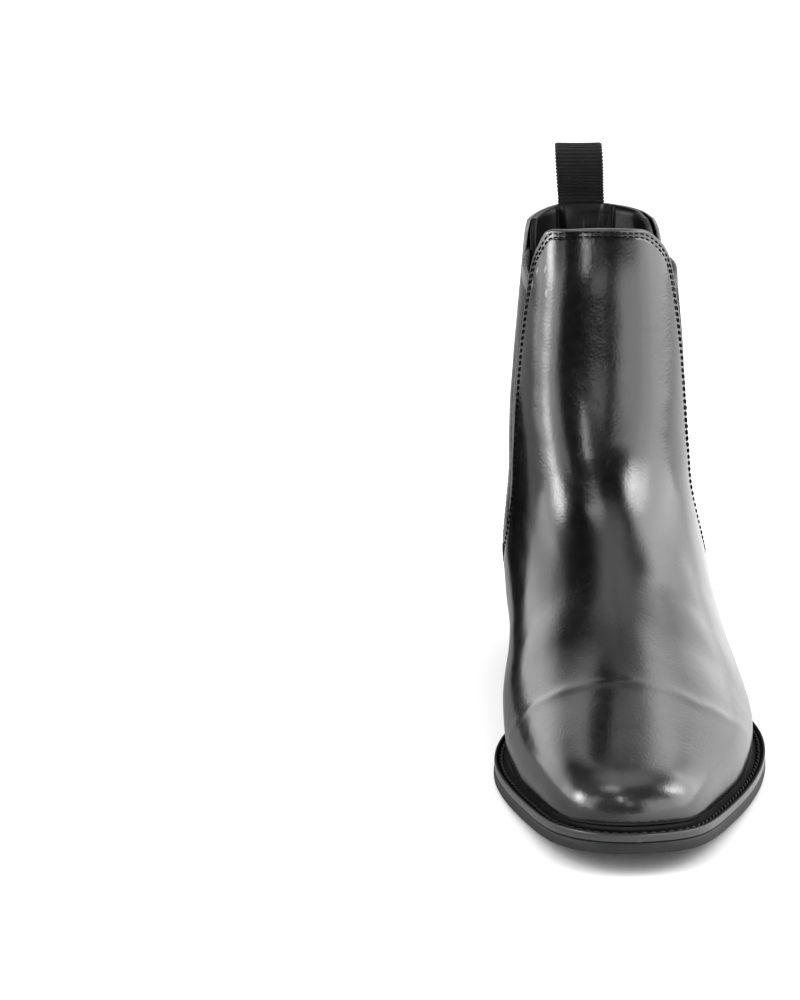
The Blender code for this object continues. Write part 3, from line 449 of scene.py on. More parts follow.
def upper_grid(count, height, smoothing):
    """Places on the form: first index round the boot (0 toe, 1/4 lateral, 1/2 back), second
    from sole to top. The grid doubles at each level; smoothing gives the rounds per level."""
    feather = np.column_stack([ring_feather, z_feather(ring_feather[:, 1])])
    feather = project(feather, 8, flat=True)
    feather[:, 2] = z_feather(feather[:, 1])
    top = top_loop()
    for level, rounds in enumerate(smoothing):
        size = count * 2 ** level
        low, high = halves(feather, size), halves(top, size)
        if level == 0:
            part = np.linspace(0, 1, height + 1)[None, :, None]
            grid = low[:, None] * (1 - part) + high[:, None] * part
            for _ in range(25):
                grid[:, 1:-1] = project(grid[:, 1:-1], 1, limit=8.0)
        else:
            grid = doubled(grid)
        grid[:, 0], grid[:, -1] = low, high
        for _ in range(rounds):
            inner = grid[:, 1:-1]
            mean = (np.roll(inner, 1, 0) + np.roll(inner, -1, 0) + grid[:, 2:] + grid[:, :-2]) / 4
            grid[:, 1:-1] = project(inner + 0.8 * (mean - inner), 1)
        grid[:, 1:-1] = project(grid[:, 1:-1], 2)
    return grid


# Stretches of the boot's girth searched for a place
SEARCH = {'lateral': (np.arange(400) + 0.5) / 800,
          'medial': (np.arange(400) + 0.5) / 800 + 0.5,
          'front': np.mod(np.linspace(-0.25, 0.25, 401), 1.0),
          'back': np.linspace(0.25, 0.75, 401)}


class Surface:
    """Smooth surface through the grid: `around` runs round the boot (0 to 1), `up` from the
    sole (0) to the top (1)."""

    def __init__(self, grid):
        self.count, self.height = grid.shape[0], grid.shape[1] - 1
        low = 2 * grid[:, :1] - grid[:, 1:2]
        high = 2 * grid[:, -1:] - grid[:, -2:-1]
        self.grid = np.concatenate([2 * low - grid[:, :1], low, grid, high,
                                    2 * high - grid[:, -1:]], 1)

    def at(self, around, up):
        column = np.mod(around, 1.0) * self.count
        row = np.clip(up, -0.02, 1.02) * self.height + 2
        i = np.floor(column).astype(int)
        j = np.clip(np.floor(row).astype(int), 1, self.grid.shape[1] - 3)
        weights_a = cubic_weights((column - i)[..., None])
        weights_u = cubic_weights((row - j)[..., None])
        total = 0.0
        for p in range(4):
            strip = 0.0
            for q in range(4):
                strip = strip + weights_u[q] * self.grid[(i - 1 + p) % self.count, j - 1 + q]
            total = total + weights_a[p] * strip
        return total

    def normal(self, around, up):
        step = 0.3 / self.count
        along_a = self.at(around + step, up) - self.at(around - step, up)
        step = 0.3 / self.height
        along_u = self.at(around, up + step) - self.at(around, up - step)
        return unit(np.cross(along_a, along_u))

    def locate(self, targets, weights, side):
        """(around, up) of the places nearest to the targets under axis weights, on one side."""
        targets = np.asarray(targets, float)
        weights = np.asarray(weights, float)
        around, up = np.meshgrid(SEARCH[side], np.linspace(0, 1, 201), indexing='ij')
        places = self.at(around, up).reshape(-1, 3)
        around, up = around.ravel(), up.ravel()
        step = 1e-4
        found = []
        for target in targets:
            nearest = int(np.argmin((((places - target) * weights) ** 2).sum(1)))
            turn, rise = float(around[nearest]), float(up[nearest])
            for _ in range(8):
                here = self.at(np.array([turn, turn + step, turn]),
                               np.array([rise, rise, rise + step]))
                slopes = np.stack([(here[1] - here[0]) * weights,
                                   (here[2] - here[0]) * weights], 1) / step
                move = np.linalg.lstsq(slopes, (here[0] - target) * weights, rcond=None)[0]
                turn -= float(np.clip(move[0], -0.01, 0.01))
                rise -= float(np.clip(move[1], -0.01, 0.01))
            found.append((turn, rise))
        return np.array(found)


GIRTH_WEIGHT = 2.2     # length of one turn round the boot against its height


def along(line, shares):
    """Places on a line of surface parameters, at shares of its length."""
    known = lengths(line * [GIRTH_WEIGHT, 1.0])
    return interpolate(shares * known[-1], known, line)


def coons(bottom, right, top, left, across, height, warp=1.0):
    """Surface parameters on a patch between four lines: bottom and top run left to right,
    left and right run up. A warp over 1 draws the rows towards the bottom."""
    shares = np.linspace(0, 1, across + 1)
    bottom, top = along(bottom, shares), along(top, shares)
    even = np.linspace(0, 1, height + 1)
    left, right = (line if len(line) == height + 1 else along(line, even)
                   for line in (left, right))
    over = shares[:, None, None]
    up = (even ** warp)[None, :, None]
    return ((1 - up) * bottom[:, None] + up * top[:, None]
            + (1 - over) * left[None] + over * right[None]
            - ((1 - over) * (1 - up) * bottom[0] + over * (1 - up) * bottom[-1]
               + (1 - over) * up * top[0] + over * up * top[-1]))


surface = Surface(upper_grid(count=64, height=32, smoothing=(60, 16, 8)))

# =====================================================================
# Lines of the upper
# =====================================================================
# Edges seen from the side, (y, z), from the foot of the gore up, and the side seam below it
GORE_FRONT = [(63.5, 59.5), (56, 60.4), (50.0, 64.0), (46.4, 71), (45.0, 82), (45.6, 105),
              (48.2, 138), (50.3, 160), (51.0, 176), (50.2, 186), (48.2, 192.5)]
GORE_BACK = [(63.5, 59.5), (71, 61), (77, 66), (81.0, 75), (84, 90), (88.5, 113),
             (93.5, 138), (98.5, 163), (101, 178), (103.5, 185), (107.5, 189.3)]
SEAM = [(66.5, 27), (65.5, 38), (64.5, 49), (63.5, 59.5)]
# Top edges between the gores, (x, z): the vamp's from medial to lateral, the quarter's back
VAMP_TOP = [(-27, 198.6), (-20, 200.2), (-7, 201.0), (6, 200.4), (14, 198.7)]
QUARTER_TOP = [(17, 190.9), (6, 191.4), (-6, 191.6), (-18, 191.2)]
EDGE_SHIFT = 0.12           # each panel stands this far off the shared line
LINE_COUNT = 40
BACK_VIEW = (1.0, 0.02, 1.0)   # axis weights for a place given by x and z
SIDE_VIEW = (0.0, 1.0, 1.0)    # axis weights for a place given by y and z
VAMP_WARP = 1.12


def side_line(points, side, shift=0.0):
    line = open_spline([(y + shift, z) for y, z in points], LINE_COUNT)
    return surface.locate(np.column_stack([np.zeros(len(line)), line]), SIDE_VIEW, side)


def seam_line(side, shift):
    """Side seam, stretched down to the surface's lower edge."""
    line = side_line(SEAM, side, shift)
    line[:, 1] -= line[0, 1] * np.linspace(1, 0, len(line))
    return line


def unwrap(line):
    """Medial places counted as negative turns, so the line crosses the toe without a jump."""
    line = line.copy()
    line[:, 0] = np.where(line[:, 0] > 0.5, line[:, 0] - 1, line[:, 0])
    return line


def top_edge(start, end, middle, side):
    """Top edge on the front or back between two gore corners."""
    first, last = surface.at(np.array([start[0], end[0]]), np.array([start[1], end[1]]))
    line = open_spline([(first[0], first[2])] + middle + [(last[0], last[2])], LINE_COUNT)
    depth = np.full(len(line), 40.0 if side == 'front' else 127.0)
    line = surface.locate(np.column_stack([line[:, 0], depth, line[:, 1]]), BACK_VIEW, side)
    if side == 'front':
        line = unwrap(line)
    line[0], line[-1] = start, end
    return line


def foot_line(start, end):
    return np.column_stack([np.linspace(start, end, 200), np.zeros(200)])


vamp_gore = {side: side_line(GORE_FRONT, side, -EDGE_SHIFT) for side in SIDES}
quarter_gore = {side: side_line(GORE_BACK, side, EDGE_SHIFT) for side in SIDES}
vamp_seam = {side: seam_line(side, -EDGE_SHIFT) for side in SIDES}
quarter_seam = {side: seam_line(side, EDGE_SHIFT) for side in SIDES}
vamp_top = top_edge(unwrap(vamp_gore['medial'])[-1], vamp_gore['lateral'][-1],
                    VAMP_TOP, 'front')
quarter_top = top_edge(quarter_gore['lateral'][-1], quarter_gore['medial'][-1],
                       QUARTER_TOP, 'back')
vamp_foot = foot_line(vamp_seam['medial'][0, 0] - 1, vamp_seam['lateral'][0, 0])
quarter_foot = foot_line(quarter_seam['lateral'][0, 0], quarter_seam['medial'][0, 0])


def edge_line(seam, gore_edge, count, warp=1.0):
    return along(np.vstack([seam, gore_edge[1:]]), np.linspace(0, 1, count + 1) ** warp)


def vamp_patch(across, height):
    right = edge_line(vamp_seam['lateral'], vamp_gore['lateral'], height, VAMP_WARP)
    left = edge_line(unwrap(vamp_seam['medial']), unwrap(vamp_gore['medial']), height, VAMP_WARP)
    return coons(vamp_foot, right, vamp_top, left, across, height, VAMP_WARP)


def quarter_patch(across, height):
    right, left = (edge_line(quarter_seam[side], quarter_gore[side], height)
                   for side in ('medial', 'lateral'))
    return coons(quarter_foot, right, quarter_top, left, across, height)


# =====================================================================
# Mesh helpers
# =====================================================================
RANDOM = np.random.default_rng(11)


def add_object(name, data):
    added = bpy.data.objects.new(name, data)
    bpy.context.scene.collection.objects.link(added)
    return added


def mesh(name, points, faces, material, uv=None):
    """A smooth mesh from millimetre points in the last's own axes. Faces of one size come as
    an array, mixed faces as a list."""
    points = (np.asarray(points, float) + [SHIFT_X, SHIFT_Y, 0.0]) * MM
    data = bpy.data.meshes.new(name)
    if isinstance(faces, np.ndarray):
        data.vertices.add(len(points))
        data.vertices.foreach_set("co", points.astype(np.float32).ravel())
        data.loops.add(faces.size)
        data.loops.foreach_set("vertex_index", faces.astype(np.int32).ravel())
        data.polygons.add(len(faces))
        starts = (np.arange(len(faces)) * faces.shape[1]).astype(np.int32)
        data.polygons.foreach_set("loop_start", starts)
        data.update(calc_edges=True)
        data.validate()
    else:
        data.from_pydata([tuple(p) for p in points], [],
                         [tuple(int(v) for v in face) for face in faces])
    data.polygons.foreach_set("use_smooth", np.full(len(data.polygons), True))
    if uv is not None:
        layer = data.uv_layers.new(name="UVMap")
        index = np.empty(len(data.loops), np.int32)
        data.loops.foreach_get("vertex_index", index)
        layer.data.foreach_set("uv", np.asarray(uv, np.float32)[index].ravel())
    data.materials.append(material)
    data.update()
    return add_object(name, data)


def face_outwards(piece):
    """Turns the faces of a closed mesh outwards."""
    import bmesh
    work = bmesh.new()
    work.from_mesh(piece.data)
    bmesh.ops.remove_doubles(work, verts=work.verts, dist=2e-7)
    bmesh.ops.recalc_face_normals(work, faces=work.faces)
    work.to_mesh(piece.data)
    work.free()
    return piece


def attach(piece, slot, *replaced):
    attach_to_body(piece, "boot")
    if replaced:
        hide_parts(*replaced)


def rim_of(across, height):
    """Grid places round the edge of a patch, in order."""
    rim = [(i, 0) for i in range(across)] + [(across - 1, j) for j in range(1, height)]
    rim += [(i, height - 1) for i in range(across - 2, -1, -1)]
    rim += [(0, j) for j in range(height - 2, 0, -1)]
    return np.array(rim)


def grid_faces(across, height, base=0, flip=False):
    i, j = np.meshgrid(np.arange(across - 1), np.arange(height - 1), indexing='ij')
    corner = (i * height + j).ravel()
    quads = np.stack([corner, corner + height, corner + height + 1, corner + 1], 1)
    return base + (quads[:, ::-1] if flip else quads)


def ring_faces(size, lower, upper):
    """Quads between two rings of a stack of rings with `size` places each."""
    i = np.arange(size)
    following = (i + 1) % size
    return np.stack([lower * size + i, lower * size + following,
                     upper * size + following, upper * size + i], 1)


def near(points, line, reach):
    """Distance of each point to an open line of places, capped at reach."""
    flat = points.reshape(-1, 3)
    away = np.full(len(flat), reach)
    low, high = line.min(0) - reach, line.max(0) + reach
    close = np.where(((flat > low) & (flat < high)).all(1))[0]
    start, edge = line[:-1], np.diff(line, axis=0)
    square = (edge ** 2).sum(1) + 1e-12
    chunk = 4000
    for first in range(0, len(close), chunk):
        chosen = close[first:first + chunk]
        here = flat[chosen, None]
        part = np.clip(((here - start) * edge).sum(2) / square, 0, 1)
        least = np.sqrt(((here - start - part[..., None] * edge) ** 2).sum(2).min(1))
        away[chosen] = np.minimum(least, reach)
    return away.reshape(points.shape[:-1])


UV_SCALE = (0.64, 0.24)     # girth and height of the upper in metres
CUT_FROM_Z = 48.0           # cut edges are burnished above this height


def skin(name, patch, outer_depth, inner_depth, material, radius, relief=0.0, back=0.0,
         cut=None):
    """A sheet over the last with rounded cut edges. Relief raises the outer face and back
    the inner one; cut is the material of the edge."""
    across, height = patch.shape[:2]
    around, up = patch[..., 0], patch[..., 1]
    base, normal = surface.at(around, up), surface.normal(around, up)
    outer_depth, inner_depth, relief = (np.broadcast_to(np.asarray(values, float), around.shape)
                                        for values in (outer_depth, inner_depth, relief))
    outer = base - normal * (outer_depth - relief)[..., None]
    inner = base - normal * (inner_depth - back)[..., None]
    rim = rim_of(across, height)
    on_rim = (rim[:, 0], rim[:, 1])
    edge, edge_normal = outer[on_rim], normal[on_rim]
    tangent = unit(np.roll(edge, -1, 0) - np.roll(edge, 1, 0))
    outward = unit(np.cross(tangent, edge_normal))
    if ((edge - outer[across // 2, height // 2]) * outward).sum() < 0:
        outward = -outward
    thickness = (inner_depth - outer_depth)[on_rim] + relief[on_rim]
    round_by = np.minimum(radius, thickness * 0.46)[:, None]
    top = edge - outward * round_by
    bottom = inner[on_rim] - outward * round_by
    outer[on_rim], inner[on_rim] = top, bottom
    rings = []
    for start, way, degrees in ((top, -1.0, (30, 60, 90)), (bottom, 1.0, (90, 60, 30))):
        for angle in map(math.radians, degrees):
            rings.append(start + outward * round_by * math.sin(angle)
                         + way * edge_normal * round_by * (1 - math.cos(angle)))
    sheet, size = across * height, len(rim)
    rim_index = rim[:, 0] * height + rim[:, 1]
    hoops = ([rim_index] + [2 * sheet + q * size + np.arange(size) for q in range(len(rings))]
             + [sheet + rim_index])
    faces = [grid_faces(across, height), grid_faces(across, height, sheet, True)]
    for upper, lower in zip(hoops, hoops[1:]):
        faces.append(np.stack([np.roll(upper, -1), upper, lower, np.roll(lower, -1)], 1))
    uv = np.stack([around.ravel() * UV_SCALE[0], up.ravel() * UV_SCALE[1]], 1)
    piece = mesh(name, np.vstack([outer.reshape(-1, 3), inner.reshape(-1, 3)] + rings),
                 np.vstack(faces), material, uv=np.vstack([uv, uv] + [uv[rim_index]] * len(rings)))
    if cut is not None:
        piece.data.materials.append(cut)
        index = np.zeros(len(piece.data.polygons), np.int32)
        first = 2 * (across - 1) * (height - 1)
        burnished = (edge[:, 2] > CUT_FROM_Z).astype(np.int32)
        for q in (1, 2, 3, 4):
            index[first + q * size:first + (q + 1) * size] = burnished
        piece.data.polygons.foreach_set("material_index", index)
    return piece


def walk(line, step):
    """Places about every step along an open line, half a step in from its ends, with
    directions."""
    known = lengths(line)
    count = max(1, int(round((known[-1] - step) / step)))
    wanted = np.linspace(0.5 * step, known[-1] - 0.5 * step, count + 1)
    ahead = interpolate(np.clip(wanted + 0.2, 0, known[-1]), known, line)
    behind = interpolate(np.clip(wanted - 0.2, 0, known[-1]), known, line)
    return interpolate(wanted, known, line), unit(ahead - behind)


def thread(name, runs, material, radius, length, sink=0.42, lean=0.0, rise=0.1):
    """Stitches: short runs of thread that stand up by rise and dip by sink at both ends.
    runs: (places, directions, normals)."""
    sections, sides = 9, 7
    points, faces = [], []
    base = 0
    share = np.linspace(-1, 1, sections)
    angle = 2 * np.pi * np.arange(sides) / sides
    per_stitch = sections * sides
    i, j = np.meshgrid(np.arange(sections - 1), np.arange(sides), indexing='ij')
    following = (j + 1) % sides
    quads = np.stack([i * sides + j, i * sides + following, (i + 1) * sides + following,
                      (i + 1) * sides + j], -1).reshape(-1, 4)
    caps = []
    for ring in (np.arange(sides)[::-1], (sections - 1) * sides + np.arange(sides)):
        caps += [ring[[0, 1, 2, 3]], ring[[0, 3, 4, 5]], ring[[0, 5, 6]]]
    for places, ways, normals in runs:
        count = len(places)
        side = unit(np.cross(normals, ways))
        wobble = RANDOM.normal(0, 0.035, (count, 3))
        tilt = lean + RANDOM.normal(0, 0.05, count)
        tilted = ways * np.cos(tilt)[:, None] + side * np.sin(tilt)[:, None]
        tilted_side = np.cross(normals, tilted)
        size = length * (1 + RANDOM.normal(0, 0.03, count))
        centre = ((places + wobble)[:, None]
                  + tilted[:, None] * (share[None, :, None] * size[:, None, None] / 2))
        lift = rise - (np.abs(share) ** 3.2) * sink
        centre = centre + normals[:, None] * lift[None, :, None]
        thick = radius * np.sqrt(np.clip(1 - np.abs(share) ** 6 * 0.75, 0, 1))
        round_it = (tilted_side[:, None, None] * np.cos(angle)[None, None, :, None]
                    + normals[:, None, None] * np.sin(angle)[None, None, :, None])
        tube = centre[:, :, None] + thick[None, :, None, None] * round_it
        offsets = base + np.arange(count) * per_stitch
        faces += list((quads[None] + offsets[:, None, None]).reshape(-1, 4))
        faces += [cap + offset for offset in offsets for cap in caps]
        points.append(tube.reshape(-1, 3))
        base += count * per_stitch
    return mesh(name, np.vstack(points), faces, material)


# =====================================================================
# Materials
# =====================================================================
class Graph:
    """Short hand for building a node tree. Values may be sockets, numbers or colours."""

    def __init__(self, tree):
        self.tree = tree

    def feed(self, socket, value):
        if hasattr(value, "is_output"):
            self.tree.links.new(value, socket)
        elif isinstance(value, tuple) and len(value) == 3:
            socket.default_value = (*value, 1.0)
        else:
            socket.default_value = value

    def node(self, kind, inputs=None, **settings):
        added = self.tree.nodes.new(kind)
        for key, value in settings.items():
            setattr(added, key, value)
        for key, value in (inputs or {}).items():
            self.feed(added.inputs[key], value)
        return added

    def math(self, operation, *values):
        return self.node("ShaderNodeMath", dict(enumerate(values)),
                         operation=operation).outputs[0]

    def remap(self, value, source, target=(0.0, 1.0), kind='LINEAR'):
        return self.node("ShaderNodeMapRange", {
            "From Min": source[0], "From Max": source[1],
            "To Min": target[0], "To Max": target[1], "Value": value},
            interpolation_type=kind).outputs["Result"]


class Material(Graph):
    """A material round one Principled shader, textured in object space."""

    def __init__(self, name):
        self.material = bpy.data.materials.new(name)
        self.material.use_nodes = True
        super().__init__(self.material.node_tree)
        self.shader = self.tree.nodes["Principled BSDF"]
        self.place = self.node("ShaderNodeTexCoord").outputs["Object"]

    def stretch(self, scale, turn=(0, 0, 0)):
        mapping = self.node("ShaderNodeMapping", {"Vector": self.place})
        mapping.inputs["Scale"].default_value = scale
        mapping.inputs["Rotation"].default_value = turn
        return mapping.outputs["Vector"]

    def noise(self, scale, detail=3.0, rough=0.5, vector=None):
        return self.node("ShaderNodeTexNoise", {
            "Scale": scale, "Detail": detail, "Roughness": rough,
            "Vector": vector or self.place}).outputs["Fac"]

    def cells(self, scale, feature='F1'):
        return self.node("ShaderNodeTexVoronoi", {"Scale": scale, "Vector": self.place},
                         feature=feature).outputs["Distance"]

    def wave(self, pitch, axis, vector, distortion=0.0):
        """Bands, with the pitch in millimetres."""
        return self.node("ShaderNodeTexWave", {
            "Scale": 1000.0 / pitch / 2, "Distortion": distortion, "Detail": 1.0,
            "Vector": vector}, bands_direction=axis, wave_profile='SIN').outputs["Fac"]

    def mix(self, share, first, second):
        return self.node("ShaderNodeMix", {0: share, 6: first, 7: second},
                         data_type='RGBA').outputs[2]

    def bump(self, height, strength, distance, normal=None):
        inputs = {"Strength": strength, "Distance": distance, "Height": height}
        if normal is not None:
            inputs["Normal"] = normal
        return self.node("ShaderNodeBump", inputs).outputs["Normal"]

    def corners(self, source=(0.5, 0.62)):
        """1 on outer corners, 0 on flat places."""
        geometry = self.node("ShaderNodeNewGeometry")
        return self.remap(geometry.outputs["Pointiness"], source)

    def done(self, colour, rough, normal=None, **sockets):
        self.feed(self.shader.inputs["Base Color"], colour)
        self.feed(self.shader.inputs["Roughness"], rough)
        if normal is not None:
            self.feed(self.shader.inputs["Normal"], normal)
        for key, value in sockets.items():
            self.feed(self.shader.inputs[key.replace("_", " ")], value)
        return self.material


def calf_leather():
    make = Material("polished_calf")
    pores = make.cells(1700.0)
    pebble = make.cells(950.0, feature='SMOOTH_F1')
    grain = make.noise(1100.0, detail=4.0, rough=0.62)
    cloud = make.noise(30.0, detail=4.0, rough=0.6)
    soft = make.noise(240.0, rough=0.55)
    scuff = make.noise(45.0, detail=6.0, rough=0.75,
                       vector=make.stretch((1.0, 0.6, 5.0), turn=(0.3, 0.4, 0.2)))
    colour = make.mix(make.remap(cloud, (0.35, 0.7)),
                      (0.0035, 0.0035, 0.004), (0.007, 0.0068, 0.007))
    # painted highlight: the leather's rims (high pointiness) are mixed towards pale grey so they
    # read as catching light
    painted_rim_highlight = make.math('MULTIPLY', make.corners((0.505, 0.56)), 0.9)
    colour = make.mix(painted_rim_highlight, colour, (0.16, 0.16, 0.163))
    rough = make.math('ADD', make.remap(cloud, (0.3, 0.75), (0.17, 0.26)),
                      make.remap(soft, (0.35, 0.7), (0.0, 0.05)))
    coat_rough = make.math('ADD', make.remap(scuff, (0.35, 0.8), (0.08, 0.14)),
                           make.remap(soft, (0.35, 0.7), (0.0, 0.04)))
    normal = make.bump(make.noise(110.0, rough=0.55), strength=0.08, distance=0.0006)
    normal = make.bump(pebble, strength=0.13, distance=0.00022, normal=normal)
    normal = make.bump(grain, strength=0.17, distance=0.00014, normal=normal)
    normal = make.bump(pores, strength=0.07, distance=0.00010, normal=normal)
    return make.done(colour, rough, normal, Coat_Normal=normal, Specular_IOR_Level=0.9,
                     Coat_Weight=0.75, Coat_Roughness=coat_rough, Coat_IOR=1.6)


def lining_leather(name, dark, pale, rough):
    make = Material(name)
    cloud = make.noise(40.0, rough=0.6)
    grain = make.noise(700.0, detail=4.0, rough=0.6)
    pores = make.cells(1100.0)
    colour = make.mix(make.remap(cloud, (0.3, 0.7)), dark, pale)
    normal = make.bump(grain, strength=0.35, distance=0.00022)
    normal = make.bump(make.remap(pores, (0.0, 0.4)), strength=0.25, distance=0.00012,
                       normal=normal)
    return make.done(colour, make.remap(cloud, (0.3, 0.7), rough), normal,
                     Specular_IOR_Level=0.45)


def elastic_cloth():
    make = Material("elastic_webbing")
    picks = make.wave(0.75, 'Z', make.stretch((1, 1, 1), turn=(math.radians(-6.0), 0, 0)))
    fuzz = make.noise(2500.0, detail=2.0, rough=0.6)
    height = make.math('ADD', make.math('MULTIPLY', picks, 0.6),
                       make.math('MULTIPLY', fuzz, 0.5))
    colour = make.mix(make.remap(picks, (0.1, 0.9)),
                      (0.008, 0.008, 0.0085), (0.022, 0.022, 0.023))
    colour = make.mix(make.remap(fuzz, (0.4, 0.75)), colour, (0.040, 0.040, 0.042))
    normal = make.bump(height, strength=0.6, distance=0.00018)
    return make.done(colour, make.remap(fuzz, (0.3, 0.7), (0.72, 0.92)), normal,
                     Specular_IOR_Level=0.25, Sheen_Weight=0.75, Sheen_Roughness=0.3,
                     Sheen_Tint=(0.8, 0.8, 0.82, 1.0))


def tab_cloth():
    make = Material("ribbed_webbing")
    yarn = make.wave(0.5, 'X', make.stretch((1.0, 1.0, 1.0)), distortion=0.4)
    fuzz = make.noise(2600.0, detail=2.0, rough=0.6)
    height = make.math('ADD', make.math('MULTIPLY', yarn, 0.6),
                       make.math('MULTIPLY', fuzz, 0.4))
    colour = make.mix(make.remap(fuzz, (0.35, 0.75)),
                      (0.006, 0.006, 0.0065), (0.022, 0.022, 0.023))
    normal = make.bump(height, strength=0.55, distance=0.00014)
    return make.done(colour, make.remap(fuzz, (0.3, 0.7), (0.55, 0.8)), normal,
                     Specular_IOR_Level=0.35, Sheen_Weight=0.25, Sheen_Roughness=0.4)


def thread_material(name, dark, pale, specular, rough):
    make = Material(name)
    twist = make.noise(3000.0, detail=2.0)
    colour = make.mix(make.remap(twist, (0.3, 0.7)), dark, pale)
    return make.done(colour, rough, make.bump(twist, strength=0.5, distance=0.00012),
                     Specular_IOR_Level=specular)


def welt_leather():
    """Edge face polished and waxed; upward faces are dull and dark."""
    make = Material("welt_leather")
    cloud = make.noise(55.0, rough=0.6)
    grain = make.noise(900.0, detail=4.0, rough=0.6)
    scratch = make.noise(70.0, detail=5.0, rough=0.7, vector=make.stretch((1.0, 1.0, 14.0)))
    facing = make.node("ShaderNodeNewGeometry").outputs["Normal"]
    facing = make.node("ShaderNodeSeparateXYZ", {0: facing})
    side = make.remap(make.math('ABSOLUTE', facing.outputs["Z"]), (0.6, 0.3))
    colour = make.mix(make.remap(cloud, (0.3, 0.7)),
                      (0.0025, 0.0025, 0.003), (0.006, 0.006, 0.0065))
    colour = make.mix(make.math('MULTIPLY', side, 0.85), colour, (0.036, 0.036, 0.037))
    # painted highlight: outer corners (the welt's top edge and the lips of its groove) are mixed
    # towards pale grey for the light lines they catch
    colour = make.mix(make.math('MULTIPLY', make.corners(), 0.5), colour, (0.13, 0.13, 0.132))
    normal = make.bump(grain, strength=0.2, distance=0.00016)
    normal = make.bump(scratch, strength=0.12, distance=0.0003, normal=normal)
    rough = make.math('SUBTRACT', make.remap(cloud, (0.3, 0.7), (0.55, 0.68)),
                      make.math('MULTIPLY', side, 0.36))
    return make.done(colour, rough, normal, Coat_Weight=make.math('MULTIPLY', side, 0.6),
                     Specular_IOR_Level=make.remap(side, (0.0, 1.0), (0.08, 0.8)),
                     Coat_Roughness=0.14)


def edge_dressing(name):
    make = Material(name)
    layers = make.noise(90.0, detail=4.0, rough=0.65, vector=make.stretch((1.0, 1.0, 22.0)))
    cloud = make.noise(45.0, rough=0.6)
    colour = make.mix(make.remap(cloud, (0.3, 0.7)),
                      (0.020, 0.020, 0.021), (0.034, 0.034, 0.035))
    colour = make.mix(make.math('MULTIPLY', make.corners(), 0.4), colour, (0.05, 0.05, 0.05))
    normal = make.bump(layers, strength=0.25, distance=0.0004)
    normal = make.bump(make.noise(1200.0, rough=0.6), strength=0.2, distance=0.00015,
                       normal=normal)
    return make.done(colour, make.remap(cloud, (0.3, 0.7), (0.42, 0.58)), normal,
                     Specular_IOR_Level=0.4)


def plain(name, dark, pale, rough, grain, bump=0.3, metal=0.0, stretch=None):
    """Even stuff with a grain; grain is the scale of its noise."""
    make = Material(name)
    cloud = make.noise(grain * 0.12, rough=0.6)
    vector = make.stretch(stretch) if stretch else None
    fleck = make.noise(grain, detail=5.0, rough=0.65, vector=vector)
    both = make.math('ADD', make.math('MULTIPLY', cloud, 0.5), make.math('MULTIPLY', fleck, 0.5))
    colour = make.mix(make.remap(both, (0.35, 0.65)), dark, pale)
    return make.done(colour, make.remap(fleck, (0.3, 0.7), (rough - 0.07, rough + 0.07)),
                     make.bump(fleck, strength=bump, distance=0.0003), Metallic=metal)


def granular_cork():
    make = Material("granular_cork")
    grains = make.cells(420.0)
    flecks = make.noise(300.0)
    colour = make.mix(make.remap(grains, (0.1, 0.7)), (0.42, 0.26, 0.13), (0.16, 0.085, 0.04))
    colour = make.mix(make.remap(flecks, (0.55, 0.7)), colour, (0.07, 0.035, 0.02))
    return make.done(colour, 0.9, make.bump(grains, strength=0.6, distance=0.0006))


CALF = calf_leather()
CUT = plain("burnished_leather_edge", (0.10, 0.10, 0.102), (0.24, 0.24, 0.243),
            rough=0.36, grain=900.0)
LINE = lining_leather("lining_leather", (0.004, 0.004, 0.0045), (0.010, 0.010, 0.0105),
                      rough=(0.30, 0.46))
SOCK = lining_leather("sock_leather", (0.014, 0.013, 0.013), (0.026, 0.025, 0.025),
                      rough=(0.45, 0.62))
ELASTIC = elastic_cloth()
TAB = tab_cloth()
THREAD = thread_material("waxed_thread", (0.002, 0.002, 0.002), (0.010, 0.010, 0.011),
                         specular=0.12, rough=0.6)
CORD = thread_material("welt_thread", (0.006, 0.006, 0.0065), (0.035, 0.035, 0.037),
                       specular=0.35, rough=0.5)
WELT = welt_leather()
SOLE_EDGE = edge_dressing("sole_edge_dressing")
STACK = edge_dressing("heel_stack_dressing")
RUBBER = plain("moulded_rubber", (0.012, 0.012, 0.012), (0.03, 0.03, 0.03),
               rough=0.68, grain=900.0, bump=0.35)
# A spare material that no piece wears
plain("sole_bottom", (0.012, 0.012, 0.012), (0.024, 0.024, 0.025), rough=0.5, grain=500.0)
STIFF = plain("resin_stiffener", (0.36, 0.33, 0.27), (0.55, 0.52, 0.45), rough=0.7, grain=700.0)
BOARD = plain("fibre_board", (0.30, 0.22, 0.14), (0.48, 0.38, 0.26),
              rough=0.8, grain=500.0, bump=0.4)
CORK = granular_cork()
STEEL = plain("shank_steel", (0.30, 0.30, 0.32), (0.5, 0.5, 0.52), rough=0.35, grain=300.0,
              bump=0.15, metal=1.0, stretch=(1.0, 12.0, 1.0))
BRASS = plain("nail_brass", (0.5, 0.36, 0.14), (0.75, 0.57, 0.27), rough=0.33, grain=900.0,
              bump=0.2, metal=1.0)

# Hidden pieces keep their CAD shapes and only get a material
HIDDEN = [("toe_puff", STIFF), ("heel_counter", STIFF), ("insole_board", BOARD),
          ("forefoot_filler", CORK), ("shank", STEEL)]
HIDDEN += [("heel_nail_%d" % q, BRASS) for q in range(1, 6)]
for node_name, worn_material in HIDDEN:
    cad_nodes[node_name].data.materials.clear()
    cad_nodes[node_name].data.materials.append(worn_material)


# =====================================================================
# Upper leather
# =====================================================================
def points_on(line):
    return surface.at(line[:, 0], line[:, 1])


def join(*lines):
    joined = lines[0]
    for line in lines[1:]:
        touching = np.linalg.norm(joined[-1] - line[0]) < 0.5
        joined = np.vstack([joined, line[1:] if touching else line])
    return joined


